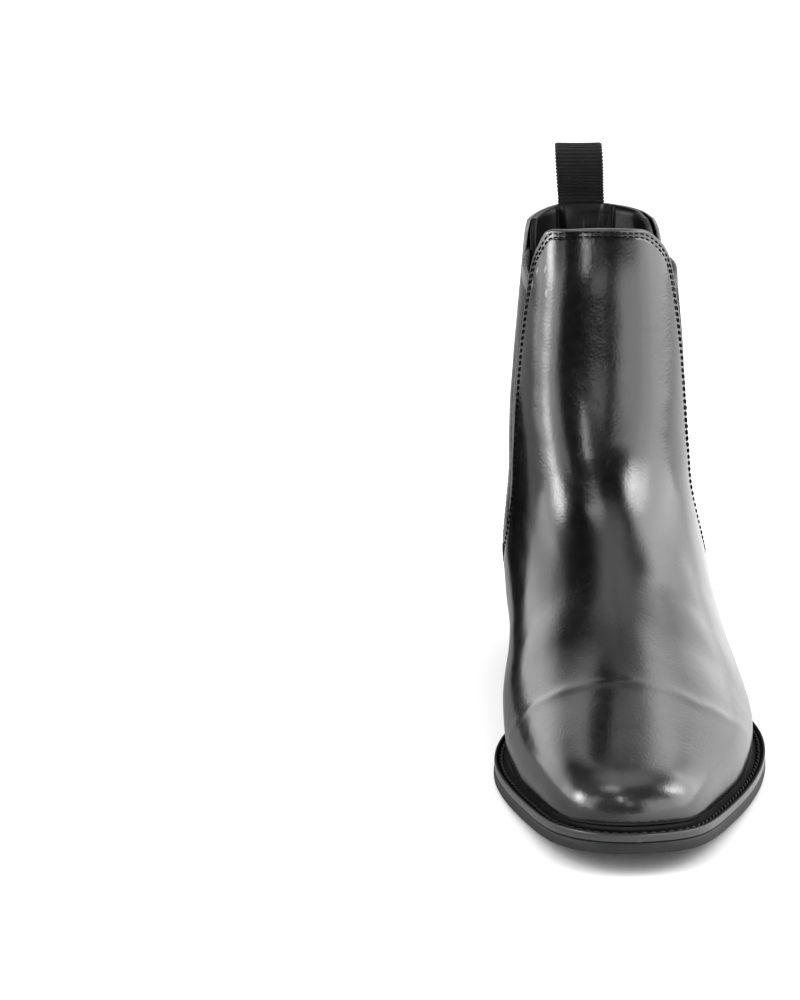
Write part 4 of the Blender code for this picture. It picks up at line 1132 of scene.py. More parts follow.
def parallel(line, inside, distance):
    """A line on the form beside an edge line, on the side of the place `inside`."""
    tangent = unit(np.gradient(line, axis=0))
    aside = unit(np.cross(tangent, form_normal(line)))
    middle = len(line) // 2
    if (aside[middle] * (np.asarray(inside) - line[middle])).sum() < 0:
        aside = -aside
    moved = project(line + aside * distance, 3)
    # drop places that a tight bend has brought nearer to the edge than the distance
    moved = moved[near(moved, line, 30.0) > distance * 0.93]
    moved = resampled(moved, 0.8)
    for _ in range(8):
        moved[1:-1] += 0.5 * ((moved[2:] + moved[:-2]) / 2 - moved[1:-1])
    return moved


vamp_gore_at = {side: points_on(vamp_gore[side]) for side in SIDES}
quarter_gore_at = {side: points_on(quarter_gore[side]) for side in SIDES}
vamp_seam_at = {side: points_on(vamp_seam[side]) for side in SIDES}
vamp_top_at, quarter_top_at = points_on(vamp_top), points_on(quarter_top)
# Free edges of each panel: up one gore, across the top and down the other gore
vamp_edge = resampled(join(vamp_gore_at['medial'], vamp_top_at,
                           vamp_gore_at['lateral'][::-1]), 1.0)
quarter_edge = resampled(join(quarter_gore_at['lateral'], quarter_top_at,
                              quarter_gore_at['medial'][::-1]), 1.0)

# Stitch rows, by distance from the edge
EDGE_ROWS, SEAM_ROWS = (1.85, 3.4), (1.6, 3.4)
vamp_rows = [parallel(vamp_edge, (-5, -20, 85), distance) for distance in EDGE_ROWS]
quarter_rows = [parallel(quarter_edge, (-5, 125, 100), distance) for distance in EDGE_ROWS]
seam_rows = [parallel(resampled(vamp_seam_at[side], 0.8), (x, 40, 40), distance)
             for side, x in (('lateral', 40), ('medial', -40)) for distance in SEAM_ROWS]


def waves(points, wavelengths, height, seed):
    """Soft, fixed unevenness: a sum of waves in fixed random directions."""
    random = np.random.default_rng(seed)
    count = 9
    total = 0.0
    for wavelength in wavelengths:
        for _ in range(count):
            way = random.normal(size=3)
            way /= np.linalg.norm(way)
            phase = (points @ way * (2 * np.pi / (wavelength * random.uniform(0.8, 1.25)))
                     + random.uniform(0, 6.28))
            total = total + math.sqrt(2.0 / count) * np.sin(phase) * height
    return total / len(wavelengths)


def leather_relief(points, rows, edges, seed):
    """Unevenness, calmer near the sole, grooves under the stitch rows and a turned edge."""
    relief = waves(points, (46.0, 30.0), 0.085, seed)
    relief += waves(points, (15.0, 9.0), 0.016, seed + 1)
    relief *= ease((points[..., 2] - 28) / 30) * 0.6 + 0.4
    for row in rows:
        relief -= 0.13 * np.exp(-(near(points, row, 4.0) / 0.45) ** 2)
    away = near(points, edges, 8.0)
    relief += 0.10 * np.exp(-(away / 1.4) ** 2)
    relief -= 0.12 * np.exp(-(away / 0.35) ** 2)
    return relief


# Creases over the instep: centre, direction, length, width, depth
CREASES = [((-2, 6, 112), (1, 0.1, 0.25), 26, 1.3, 0.10),
           ((-6, 2, 106), (1, -0.1, -0.2), 30, 1.2, 0.10),
           ((2, -4, 99), (1, 0.15, 0.15), 28, 1.4, 0.09),
           ((-8, 12, 124), (1, 0.1, 0.3), 18, 1.0, 0.07),
           ((6, -12, 92), (1, 0.2, -0.35), 22, 1.2, 0.07)]
# End of the toe stiffener: x and y
PUFF_X = [-52, -45, -32.5, -18, -4.2, 10, 26.4, 38, 50]
PUFF_Y = [-52, -61, -71, -76.5, -79.4, -81.0, -81.7, -75.5, -62]


def creases(points):
    total = 0.0
    for centre, way, length, width, depth in CREASES:
        way = unit(np.asarray(way, float))
        offset = points - np.asarray(centre, float)
        forward = (offset * way).sum(-1)
        aside = np.sqrt(np.maximum((offset ** 2).sum(-1) - forward ** 2, 0))
        fade = np.clip(1 - (forward / (length / 2)) ** 2, 0, 1)
        total = (total - depth * fade * np.exp(-(aside / width) ** 2)
                 + depth * 0.5 * fade * np.exp(-((aside - 2.2 * width) / (1.4 * width)) ** 2))
    return total


def puff_ridge(points):
    """Soft ridge across the vamp where the toe stiffener ends."""
    behind = points[..., 1] - np.interp(points[..., 0], PUFF_X, PUFF_Y)
    return ((0.20 * np.exp(-(behind / 2.6) ** 2) - 0.16 * ease((behind + 1.0) / 9.0))
            * ease((points[..., 2] - 14.0) / 12.0))


def upright_wall(points, patch):
    """Fills the undercut so the wall stands upright where it meets the welt."""
    normal_z = surface.normal(patch[..., 0], patch[..., 1])[..., 2]
    height = points[..., 2] - z_feather(points[..., 1])
    return (2.2 * np.clip(-normal_z, 0, 0.3) * np.exp(-(height / 4.5) ** 2)
            * ease((30 - points[..., 1]) / 20))


def build_vamp():
    patch = vamp_patch(fine(240), fine(230))
    points = surface.at(patch[..., 0], patch[..., 1])
    relief = leather_relief(points, vamp_rows + seam_rows, vamp_edge, seed=3)
    relief += creases(points)
    relief += puff_ridge(points)
    relief += upright_wall(points, patch)
    attach(skin("vamp_leather", patch, 0.0, LEATHER, CALF, radius=0.55, relief=relief,
                cut=CUT), "calf", "vamp")


def build_quarter():
    patch = quarter_patch(fine(190), fine(190))
    points = surface.at(patch[..., 0], patch[..., 1])
    relief = leather_relief(points, quarter_rows, quarter_edge, seed=5)
    attach(skin("quarter_leather", patch, 0.0, LEATHER, CALF, radius=0.55, relief=relief,
                cut=CUT), "calf", "quarter")


build_vamp()
build_quarter()

# =====================================================================
# Linings: they close up to the leather at the top edge and part round the gores
# =====================================================================
TOP_DEPTH = 1.62            # lining's depth under the form at the top edge
GORE_DEPTH = 3.25           # and beside a gore
FULL_DEPTH = LINING_DEPTH - 0.1
LOOP_ROOM = 1.75            # extra depth behind the pull loop's ends


def lining_depth(points, top, gores):
    x, y, z = points[..., 0], points[..., 1], points[..., 2]
    from_top, from_gore = near(points, top, 26.0), near(points, gores, 26.0)
    at_top = TOP_DEPTH + (FULL_DEPTH - TOP_DEPTH) * ease(from_top / 22.0)
    at_gore = GORE_DEPTH + (FULL_DEPTH - GORE_DEPTH) * ease(from_gore / 22.0)
    clear = ease((from_gore - 1.0) / 9.0)
    room = LOOP_ROOM * (ease((11.6 - np.abs(x - TAB_X)) / 2.2) * ease((z - 174) / 8) * (y > 100))
    at_top = at_top + room
    deepest = np.maximum(FULL_DEPTH, at_top)
    return np.minimum(at_top * clear + np.maximum(at_top, at_gore) * (1 - clear), deepest)


def quarter_pad(points):
    """Soft padding round the inside of the collar, quilted by two upright seams."""
    x, y, z = points[..., 0], points[..., 1], points[..., 2]
    band = ease((z - 128) / 16) * ease((193.5 - z) / 5.0)
    seams = np.exp(-((x + 19.6) / 1.1) ** 2) + np.exp(-((x - 7.2) / 1.1) ** 2)
    back = ease((y - 96) / 8)
    return 1.5 * band * back * (1 - 0.75 * np.clip(seams, 0, 1)) + 0.25 * back * band


def build_lining(node, patch, top, gore, padding=None):
    points = surface.at(patch[..., 0], patch[..., 1])
    depth = lining_depth(points, top, gore)
    extra = 0.0 if padding is None else padding(points)
    uneven = waves(points, (34.0,), 0.10, seed=21)
    piece = skin(node + "_leather", patch, depth, depth + LINING + extra, LINE, radius=0.42,
                 back=uneven * 0.3)
    attach(piece, "lining", node)


build_lining("vamp_lining", vamp_patch(fine(120), fine(120)), vamp_top_at,
             vamp_gore_at['lateral'])
build_lining("quarter_lining", quarter_patch(fine(150), fine(150)), quarter_top_at,
             quarter_gore_at['lateral'], quarter_pad)

# =====================================================================
# Elastic gores
# =====================================================================
# Outline of the elastic seen from the side, (y, z): front, back, foot and top
GUSSET_FRONT = [(57, 54.5), (49, 57.0), (42.5, 64.5), (39.6, 75), (38.8, 90), (39.4, 108),
                (42.0, 138), (44.0, 160), (44.9, 177.2)]
GUSSET_BACK = [(71, 54.8), (79, 59.5), (85.0, 70), (88.2, 85), (92.0, 106), (97.5, 132),
               (102.5, 156), (106.8, 177.2)]
GUSSET_FOOT = [(57, 54.5), (64, 53.6), (71, 54.8)]
GUSSET_TOP = [(44.9, 177.4), (60, 177.0), (76, 176.8), (92, 177.0), (106.8, 177.4)]
ELASTIC_DEPTH = LEATHER + 0.12
ELASTIC_T = 1.45
GORE_RIB, GORE_LEAN = 1.25, 0.106     # pitch of the ribs and their lean back with height
BAND_Z, BAND_PICK = 171.2, 0.95       # foot of the top band and pitch of its cross ribs


def build_gore(side):
    front, back = side_line(GUSSET_FRONT, side), side_line(GUSSET_BACK, side)
    base, top = side_line(GUSSET_FOOT, side), side_line(GUSSET_TOP, side)
    base[0], base[-1] = front[0], back[0]
    top[0], top[-1] = front[-1], back[-1]
    patch = coons(base, back, top, front, fine(300), fine(120))
    points = surface.at(patch[..., 0], patch[..., 1])
    y, z = points[..., 1], points[..., 2]
    ribs = np.cos(2 * np.pi * (y - GORE_LEAN * (z - 60)) / GORE_RIB)
    band = ease((z - BAND_Z) / 0.8)
    relief = 0.075 * ribs * (1 - band) + band * 0.22
    relief += 0.05 * np.cos(2 * np.pi * z / BAND_PICK) * band
    relief += waves(points, (30.0,), 0.12, seed=31)
    piece = skin("gore_%s_elastic" % side, patch, ELASTIC_DEPTH, ELASTIC_DEPTH + ELASTIC_T,
                 ELASTIC, radius=0.5, relief=relief - 0.15, back=-0.06 * ribs)
    attach(piece, "elastic", "gore_" + side)


for side in SIDES:
    build_gore(side)

# =====================================================================
# Stitching on the upper
# =====================================================================
TACK_Y, TACK_Z, TACK_HALF = 63.6, 55.8, 3.4
all_tops = np.vstack([quarter_top_at, vamp_top_at])
all_gores = np.vstack([gore[side] for gore in (quarter_gore_at, vamp_gore_at) for side in SIDES])


def run_on_form(line, pitch):
    places, ways = walk(line, pitch)
    places = project(places, 2)
    normals = form_normal(places)
    ways = unit(ways - normals * (ways * normals).sum(1)[:, None])
    return places - normals * 0.1, ways, normals


def run_inside(line, pitch):
    """The same row on the inner face of the lining."""
    places, ways = walk(line, pitch)
    places = project(places, 2)
    normals = form_normal(places)
    depth = lining_depth(places, all_tops, all_gores) + LINING
    return places - normals * (depth - 0.02)[:, None], ways, -normals


def bar_tack(side):
    """A dense block of short stitches below the foot of the gore."""
    centre = points_on(surface.locate([(0, TACK_Y, TACK_Z)], SIDE_VIEW, side))[0]
    normal = form_normal(centre[None])[0]
    upward = np.array([0, 0.12, 1.0])
    upward -= normal * (upward @ normal)
    upward /= np.linalg.norm(upward)
    across = np.cross(upward, normal)
    places = project(np.array([centre + upward * height - normal * 0.02
                               for height in np.linspace(-TACK_HALF, TACK_HALF, 13)]), 2)
    normals = form_normal(places)
    return places - normals * 0.02, np.repeat(across[None], len(places), 0), normals


# name, rows, pitch, thread radius, stitch length
for name, rows, pitch, radius, length in (
        ("vamp_stitching", vamp_rows, 2.6, 0.24, 2.0),
        ("quarter_stitching", quarter_rows, 2.6, 0.24, 2.0),
        ("side_seam_stitching", seam_rows, 2.5, 0.25, 1.95)):
    runs = [run_on_form(row, pitch) for row in rows]
    attach(thread(name, runs, THREAD, radius, length), "calf")

# Inside, only the part of the rows near the top edge shows
for name, rows in (("quarter_lining_stitching", quarter_rows),
                   ("vamp_lining_stitching", vamp_rows)):
    runs = [run_inside(row[row[:, 2] > 168], pitch=2.7) for row in rows]
    attach(thread(name, runs, THREAD, radius=0.25, length=2.15), "lining")

attach(thread("bar_tacks", [bar_tack(side) for side in SIDES], THREAD, radius=0.27,
              length=3.4, sink=0.5, lean=0.12), "calf")

# =====================================================================
# Welt
# =====================================================================
RING_COUNT = fine(900) // 4 * 4
ring_edge = closed_spline(SOLE, RING_COUNT)
WELT_LOW, WELT_TOP = OUTSOLE_T + 0.12, SOLE_T
# Section of the welt: (inset from the sole's edge, height above the outsole's bottom)
WELT_SECTION = [
    (1.3, WELT_LOW), (0.55, WELT_LOW), (0.33, WELT_LOW + 0.16), (0.22, WELT_LOW + 0.5),
    (0.18, (WELT_LOW + WELT_TOP) / 2), (0.2, WELT_TOP - 0.95), (0.28, WELT_TOP - 0.42),
    (0.45, WELT_TOP - 0.12), (0.75, WELT_TOP), (1.1, WELT_TOP - 0.05), (1.4, WELT_TOP - 0.45),
    (1.8, WELT_TOP - 0.95), (2.6, WELT_TOP - 1.15), (3.6, WELT_TOP - 1.15),
    (4.4, WELT_TOP - 0.85), (5.0, WELT_TOP - 0.2), (5.5, WELT_TOP + 0.5),
    (6.4, WELT_TOP + 1.02), (9.5, WELT_TOP + 0.6), (12.4, WELT_TOP - 0.2), (12.4, WELT_LOW)]
CHANNEL = range(10, 17)         # section places across the stitch channel
NOTCHED = range(11, 16)         # of these, the ones with wheel marks
NOTCH_DEPTH = 0.16
SEAT_Y = 52                     # the channel closes round the heel seat behind this
edge_at = lengths(np.vstack([ring_edge, ring_edge[:1]]))
welt_stitches = int(round(edge_at[-1] / 3.7))
WELT_PITCH = edge_at[-1] / welt_stitches


def follow(outline, height):
    """Plan outline laid at a height above the outsole's curved bottom."""
    return np.column_stack([outline, z_bottom(outline[:, 1]) + height])


def build_welt():
    rings = [follow(inset(ring_edge, distance), height) for distance, height in WELT_SECTION]
    count = len(rings)
    faces = np.vstack([ring_faces(RING_COUNT, r, (r + 1) % count) for r in range(count)])
    welt = mesh("welt_strip", np.vstack(rings), faces, WELT)
    places = np.empty(len(welt.data.vertices) * 3, np.float32)
    welt.data.vertices.foreach_get("co", places)
    places = places.reshape(-1, 3)
    # wheel marks pressed across the welt between the stitches
    notch = np.clip(np.cos(2 * np.pi * edge_at[:-1] / WELT_PITCH), 0, 1) ** 3
    for r in NOTCHED:
        ring = slice(r * RING_COUNT, (r + 1) * RING_COUNT)
        places[ring, 2] -= (NOTCH_DEPTH * notch * MM).astype(np.float32)
    seat = ease((places[:, 1] / MM - SHIFT_Y - SEAT_Y) / 10)
    for r in CHANNEL:
        ring = slice(r * RING_COUNT, (r + 1) * RING_COUNT)
        lift = max(0.0, WELT_TOP - 0.06 - WELT_SECTION[r][1])
        places[ring, 2] += lift * MM * seat[ring]
    welt.data.vertices.foreach_set("co", places.ravel())
    attach(face_outwards(welt), "welt", "welt")


def build_welt_stitching():
    line = follow(inset(ring_edge, 3.0), WELT_TOP - 0.85)
    line = np.vstack([line, line[:1]])
    known = lengths(line)
    whole = known[-1]
    wanted = (np.arange(welt_stitches) + 0.5) / welt_stitches * whole
    places = interpolate(wanted, known, line)
    ways = unit(interpolate((wanted + 0.3) % whole, known, line)
                - interpolate((wanted - 0.3) % whole, known, line))
    upward = np.tile([0, 0, 1.0], (len(ways), 1))
    normals = unit(np.cross(ways, np.cross(upward, ways)))
    ahead = places[:, 1] < 56.0      # the stitching stops at the heel seat
    run = (places[ahead], ways[ahead], normals[ahead])
    attach(thread("welt_stitching", [run], CORD, radius=0.46, length=3.5, sink=0.62,
                  lean=0.36, rise=0.2), "welt")


build_welt()
build_welt_stitching()

# =====================================================================
# Outsole: edge, bevels and a bottom face with a channel line round it
# =====================================================================
# (inset from the sole's edge, height above the outsole's bottom)
OUTSOLE_SECTION = [
    (9.0, 0.0), (5.2, 0.0), (4.9, -0.0), (4.6, 0.28), (4.3, 0.28), (4.0, 0.0), (2.0, 0.0),
    (0.9, 0.05), (0.35, 0.3), (0.1, 0.8), (0.0, 1.6), (0.02, 2.6), (0.12, 3.5), (0.3, 4.05),
    (0.6, OUTSOLE_T - 0.15), (1.1, OUTSOLE_T), (3.0, OUTSOLE_T), (9.0, OUTSOLE_T)]


def ladder_capped(name, rings, toe, material):
    """A stack of sole-shaped rings, closed at both ends by rungs from side to side. toe is
    the index of the foremost place."""
    size, count = len(rings[0]), len(rings)
    faces = []
    for r in range(count - 1):
        faces += list(ring_faces(size, r, r + 1))
    for level, turn in ((0, -1), (count - 1, 1)):
        order = np.roll(np.arange(size), -toe) + level * size
        for q in range(1, size // 2 + 1):
            rung = []
            for place in (q - 1, q, (size - q) % size, (size - q + 1) % size):
                if order[place] not in rung:
                    rung.append(order[place])
            if len(rung) > 2:
                faces.append(rung[::turn])
    return face_outwards(mesh(name, np.vstack(rings), faces, material))


outsole_rings = [follow(inset(ring_edge, distance), height)
                 for distance, height in OUTSOLE_SECTION]
attach(ladder_capped("outsole_leather", outsole_rings, int(np.argmin(outsole_rings[0][:, 1])),
                     SOLE_EDGE), "sole_edge", "outsole")

# =====================================================================
# Heel
# =====================================================================
HEEL_SIDE, HEEL_FRONT = 120, 60     # places along each side and across the front
BREAST_HOLLOW = 3.0                 # hollow of the heel's front face
HEEL_TAPER, HEEL_INSET = 2.5, 0.55  # inset at the ground over that at the top, and the latter
BREAST_TAPER = 1.9
TAPER_H = 18.0
LIFT_T = 5.6                        # rubber top piece
STACK_LOW, STACK_TOP = LIFT_T + 0.15, 18.4
STACK_LAYERS = 4
# Rubber piece: (height, groove)
LIFT_SECTION = [(0.0, 0.9), (0.0, 0.7), (0.12, 0.35), (0.45, 0.08), (1.0, 0.0), (4.6, 0.0),
                (5.1, 0.03), (LIFT_T - 0.12, 0.12), (LIFT_T, 0.3)]


def heel_ring(distance, breast):
    """Plan outline of the heel, cut off at the breast with a hollow front."""
    outline = inset(ring_edge, distance)
    back, toe = int(np.argmax(outline[:, 1])), int(np.argmin(outline[:, 1]))
    turned = np.roll(outline, -back, 0)
    middle = (toe - back) % len(outline)
    y = breast + (outline[back, 1] - breast) * np.cos(np.linspace(0, 1, HEEL_SIDE) * np.pi / 2)
    sides = []
    for half in (turned[:middle + 1], np.vstack([turned[middle:], turned[:1]])[::-1]):
        known = np.maximum.accumulate(-half[:, 1]) + np.arange(len(half)) * 1e-9
        sides.append(np.stack([np.interp(-y, known, half[:, 0]), y], 1))
    lateral, medial = sides if sides[0][20, 0] > sides[1][20, 0] else sides[::-1]
    share = np.linspace(1, -1, HEEL_FRONT + 2)[1:-1]
    front_x = ((lateral[-1, 0] + medial[-1, 0]) / 2
               + (lateral[-1, 0] - medial[-1, 0]) / 2 * share)
    front = np.stack([front_x, breast + BREAST_HOLLOW * (1 - share ** 2)], 1)
    ring = np.vstack([lateral, front, medial[::-1][:-1]])
    # small radius at the two front corners
    size = len(ring)
    for _ in range(3):
        for corner in (HEEL_SIDE - 1, HEEL_SIDE + HEEL_FRONT):
            for q in range(corner - 2, corner + 3):
                ring[q % size] = (ring[(q - 1) % size] + 2 * ring[q % size]
                                  + ring[(q + 1) % size]) / 4
    return ring


def heel_section(z, groove, breast_groove):
    """Outline at a height, cut back by the grooves; the heel narrows towards the ground."""
    fall = 1 - np.clip(z / TAPER_H, 0, 1)
    return heel_ring(HEEL_TAPER * fall ** 1.2 + HEEL_INSET + groove,
                     BREAST_Y + BREAST_TAPER * fall + breast_groove)


def fan_capped(name, levels, material):
    """A stack of rings closed at both ends by fans."""
    size, count = len(levels[0]), len(levels)
    faces = []
    for r in range(count - 1):
        faces += list(ring_faces(size, r, r + 1))
    low_centre, last = count * size, (count - 1) * size
    for q in range(size):
        following = (q + 1) % size
        faces.append((following, q, low_centre))
        faces.append((last + q, last + following, low_centre + 1))
    points = np.vstack(levels + [levels[0].mean(0), levels[-1].mean(0)])
    return face_outwards(mesh(name, points, faces, material))


def build_heel_stack():
    """Layers with a fine groove between them, fitted under the outsole's curve."""
    levels = []
    for q in range(STACK_LAYERS):
        low, high = q / STACK_LAYERS, (q + 1) / STACK_LAYERS
        for share, groove in ((low, 0.10), (low + 0.012, 0.0), (low + 0.1, -0.03),
                              (high - 0.1, -0.03), (high - 0.012, 0.0), (high, 0.10)):
            z = STACK_LOW + share * (STACK_TOP - STACK_LOW)
            ring = heel_section(z, groove, groove * 0.5)
            top = z_bottom(ring[:, 1]) - 0.08
            levels.append(np.column_stack([ring, STACK_LOW + share * (top - STACK_LOW)]))
    attach(fan_capped("heel_stack", levels, STACK), "stack", "heel_block")


def build_top_piece():
    levels = []
    for z, groove in LIFT_SECTION:
        ring = heel_section(z, groove, groove)
        levels.append(np.column_stack([ring, np.full(len(ring), z)]))
    attach(fan_capped("rubber_top_piece", levels, RUBBER), "rubber", "top_lift")


build_heel_stack()
build_top_piece()

# =====================================================================
# Sock liner: thin leather with a rolled edge, inside on the insole
# =====================================================================
SOCK_INSET = LINING_DEPTH + LINING + 3.2
SOCK_Z = SOLE_T + GAP
# (inset beyond SOCK_INSET, height above SOCK_Z)
SOCK_SECTION = [(0.5, 2.5), (0.1, 2.7), (0.0, 3.1), (0.15, 3.5), (0.7, 3.7), (2.2, 3.72),
                (3.0, 3.62), (4.0, 3.75), (8.0, 3.8)]
# Inset of the insole's edge from the sole's: y and inset
INSOLE_Y = [-150, -110, -50, 0, 50, 140]
INSOLE_INSET = [7.2, 7.2, 6.2, 6.2, 4.5, 4.5]


def smooth_ring(ring, rounds):
    for _ in range(rounds):
        ring = 0.5 * ring + 0.25 * (np.roll(ring, 1, 0) + np.roll(ring, -1, 0))
    return ring


insole = smooth_ring(inset(ring_edge, np.interp(ring_edge[:, 1], INSOLE_Y, INSOLE_INSET)), 12)
sock_rings = [follow(smooth_ring(inset(insole, SOCK_INSET + distance), 6), SOCK_Z + height)
              for distance, height in SOCK_SECTION]
attach(ladder_capped("sock_leather", sock_rings, int(np.argmin(insole[:, 1])), SOCK),
       "lining", "sock_liner")


# =====================================================================
# Padded grip panel inside the heel
# =====================================================================
def build_grip():
    low = surface.locate([(-19, 130, 70), (7, 130, 70)], BACK_VIEW, 'back')
    high = surface.locate([(-18.6, 127, 187.6), (6.2, 127, 187.6)], BACK_VIEW, 'back')
    low, high = low[np.argsort(low[:, 0])], high[np.argsort(high[:, 0])]
    patch = coons(low, np.array([low[1], high[1]]), high, np.array([low[0], high[0]]),
                  fine(60), fine(160))
    points = surface.at(patch[..., 0], patch[..., 1])
    depth = (lining_depth(points, quarter_top_at, quarter_gore_at['lateral']) + LINING
             + quarter_pad(points))
    across = np.linspace(-1, 1, patch.shape[0])[:, None]
    up = np.linspace(0, 1, patch.shape[1])[None]
    # two soft rolls either side of a middle seam
    puff = (0.95 * (1 - np.abs(across) ** 4) * (1 - np.exp(-(across / 0.045) ** 2) * 0.55)
            * ease(up / 0.06) * ease((1 - up) / 0.04))
    attach(skin("heel_grip_pad", patch, depth - 0.05, depth + 0.35 + puff, LINE, radius=0.16),
           "lining", "heel_grip")


build_grip()

# =====================================================================
# Pull loop: ribbed webbing, both ends held between leather and lining
# =====================================================================
AXIS_Y, AXIS_Z = 126.0, 193.6       # foot of the loop at the top edge
# Middle line of the webbing from the side, (y, z) from the foot: up inside, over and down
LOOP_LINE = [(-0.62, -13.0), (-0.62, -6.0), (-0.62, -1.5), (-0.75, 1.0), (-1.7, 4.5),
             (-3.9, 10.0), (-5.6, 15.5), (-6.0, 19.5), (-4.9, 23.4), (-2.4, 25.7), (0.4, 26.1),
             (3.2, 25.0), (5.3, 22.0), (6.1, 18.2), (5.4, 13.0), (3.6, 7.8), (1.8, 3.8),
             (0.75, 1.0), (0.62, -1.5), (0.62, -6.0), (0.62, -13.0)]
LOOP_SQUASH = 0.885                 # applied to the heights above the foot
RIB = 1.5                           # pitch of the cross ribs
RIB_H = 0.22
TAB_HALF_T = 0.40
TAB_LEAN = 0.055                    # lean towards the medial side with height
wall_xs = np.linspace(TAB_X - TAB_W / 2 - 1, TAB_X + TAB_W / 2 + 1, 21)
wall_zs = np.linspace(AXIS_Z - 15, AXIS_Z + 0.5, 9)


def back_wall():
    """y of the form's back on the grid of wall_xs and wall_zs, by halving."""
    x, z = np.meshgrid(wall_xs, wall_zs, indexing='ij')
    low, high = np.full(x.shape, 100.0), np.full(x.shape, 140.0)
    for _ in range(16):
        middle = (low + high) / 2
        inside = form(x, middle, z) < 0
        low, high = np.where(inside, middle, low), np.where(inside, high, middle)
    return (low + high) / 2


wall_ys = back_wall()


def wall_y(x, z):
    column = np.clip((x - wall_xs[0]) / (wall_xs[1] - wall_xs[0]), 0, 19.999)
    row = np.clip((z - wall_zs[0]) / (wall_zs[1] - wall_zs[0]), 0, 7.999)
    i, j = column.astype(int), row.astype(int)
    over, up = column - i, row - j
    return ((wall_ys[i, j] * (1 - over) + wall_ys[i + 1, j] * over) * (1 - up)
            + (wall_ys[i, j + 1] * (1 - over) + wall_ys[i + 1, j + 1] * over) * up)


def build_loop():
    line = open_spline([(y, z * LOOP_SQUASH if z > 0 else z) for y, z in LOOP_LINE], 900)
    whole = lengths(line)[-1]
    count = int(whole / RIB * 8 * FINE)
    line = evenly(line, count + 1)
    tangent = unit(np.gradient(line, axis=0))
    normal_y, normal_z = -tangent[:, 1], tangent[:, 0]
    rib = np.cos(2 * np.pi * np.linspace(0, whole, count + 1) / RIB)
    widths = np.linspace(-1, 1, 25)
    rails = []
    for face in (1.0, -1.0):
        for share in widths:
            # the selvedges are thinner, with weaker ribs
            thinning = 1 - 0.55 * np.clip((abs(share) - 0.93) / 0.07, 0, 1)
            rib_share = 1 if abs(share) < 0.95 else 0.4
            half = (TAB_HALF_T
                    + RIB_H * np.sign(rib) * np.abs(rib) ** 0.7 * rib_share) * thinning
            ragged = 0.18 * rib if abs(share) > 0.99 else 0.0
            curl = 0.25 * (share ** 2) * np.exp(-((line[:, 1] - 18) / 9) ** 2)
            y = line[:, 0] + normal_y * (face * half) + normal_y * curl
            z = line[:, 1] + normal_z * (face * half) + normal_z * curl
            above = np.clip(z, 0, 40)
            x = TAB_X + share * (TAB_W / 2 + ragged) - TAB_LEAN * above
            free_y = AXIS_Y - 0.75 + y + 0.02 * above ** 1.1
            # low down the two ends lie flat against each other along the back wall
            ply = np.sign(line[:, 0]) * 0.42
            snug_y = (wall_y(x, AXIS_Z + z) - 2.42 + ply
                      + normal_y * face * np.minimum(half, TAB_HALF_T) * 0.95)
            low = 1 - ease((z + 0.5) / 7.0)
            rails.append(np.stack([x, free_y * (1 - low) + snug_y * low, AXIS_Z + z], 1))
    wide, size = len(widths), count + 1
    order = list(range(wide)) + list(range(2 * wide - 1, wide - 1, -1))
    i = np.arange(count)
    faces = []
    for rail, following in zip(order, order[1:] + order[:1]):
        faces += list(np.stack([rail * size + i, following * size + i,
                                following * size + i + 1, rail * size + i + 1], 1))
    faces.append([rail * size for rail in order])
    faces.append([rail * size + count for rail in order[::-1]])
    loop = face_outwards(mesh("webbing_loop", np.vstack(rails), faces, TAB))
    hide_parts("pull_tab")
    x, y = (TAB_X + SHIFT_X) * MM, (AXIS_Y + SHIFT_Y) * MM
    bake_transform(loop)


build_loop()

# =====================================================================
# Camera and lights
# =====================================================================
CAMERA_Z = 544.64
CAMERA_DOWN = 0.311                       # downward tilt, radians
CAMERA_TURN = 0.019                       # turn from +Y towards +X, radians
BOOT_RIGHT, BOOT_AHEAD = 87.282, 1387.021  # the last's origin as seen from the camera
SENSOR, LENS = 36.0, 130.84848


def add_camera():
    cosine, sine = math.cos(CAMERA_TURN), math.sin(CAMERA_TURN)
    data = bpy.data.cameras.new("camera")
    camera = add_object("camera", data)
    camera.location = ((-cosine * BOOT_RIGHT - sine * BOOT_AHEAD + SHIFT_X) * MM,
                       (sine * BOOT_RIGHT - cosine * BOOT_AHEAD + SHIFT_Y) * MM,
                       CAMERA_Z * MM)
    level = math.cos(CAMERA_DOWN)
    look = Vector((sine * level, cosine * level, -math.sin(CAMERA_DOWN)))
    camera.rotation_euler = look.to_track_quat('-Z', 'Y').to_euler()
    data.sensor_fit = 'AUTO'
    data.sensor_width = SENSOR
    data.lens = LENS
    data.clip_end = 20.0
    bpy.context.scene.camera = camera


def add_softbox(name, place, aim=(0, 0, 0.05), size=0.9, power=7):
    """Square area light, metres and watts, that gives no reflection."""
    data = bpy.data.lights.new(name, 'AREA')
    data.shape = 'RECTANGLE'
    data.size = data.size_y = size
    data.energy = power
    lamp = add_object(name, data)
    lamp.location = place
    lamp.rotation_euler = (Vector(aim) - Vector(place)).to_track_quat('-Z', 'Y').to_euler()
    lamp.visible_glossy = False


add_camera()
add_softbox("softbox_left", (-1.1, -0.5, 1.1))
add_softbox("softbox_right", (1.0, -0.4, 1.2))


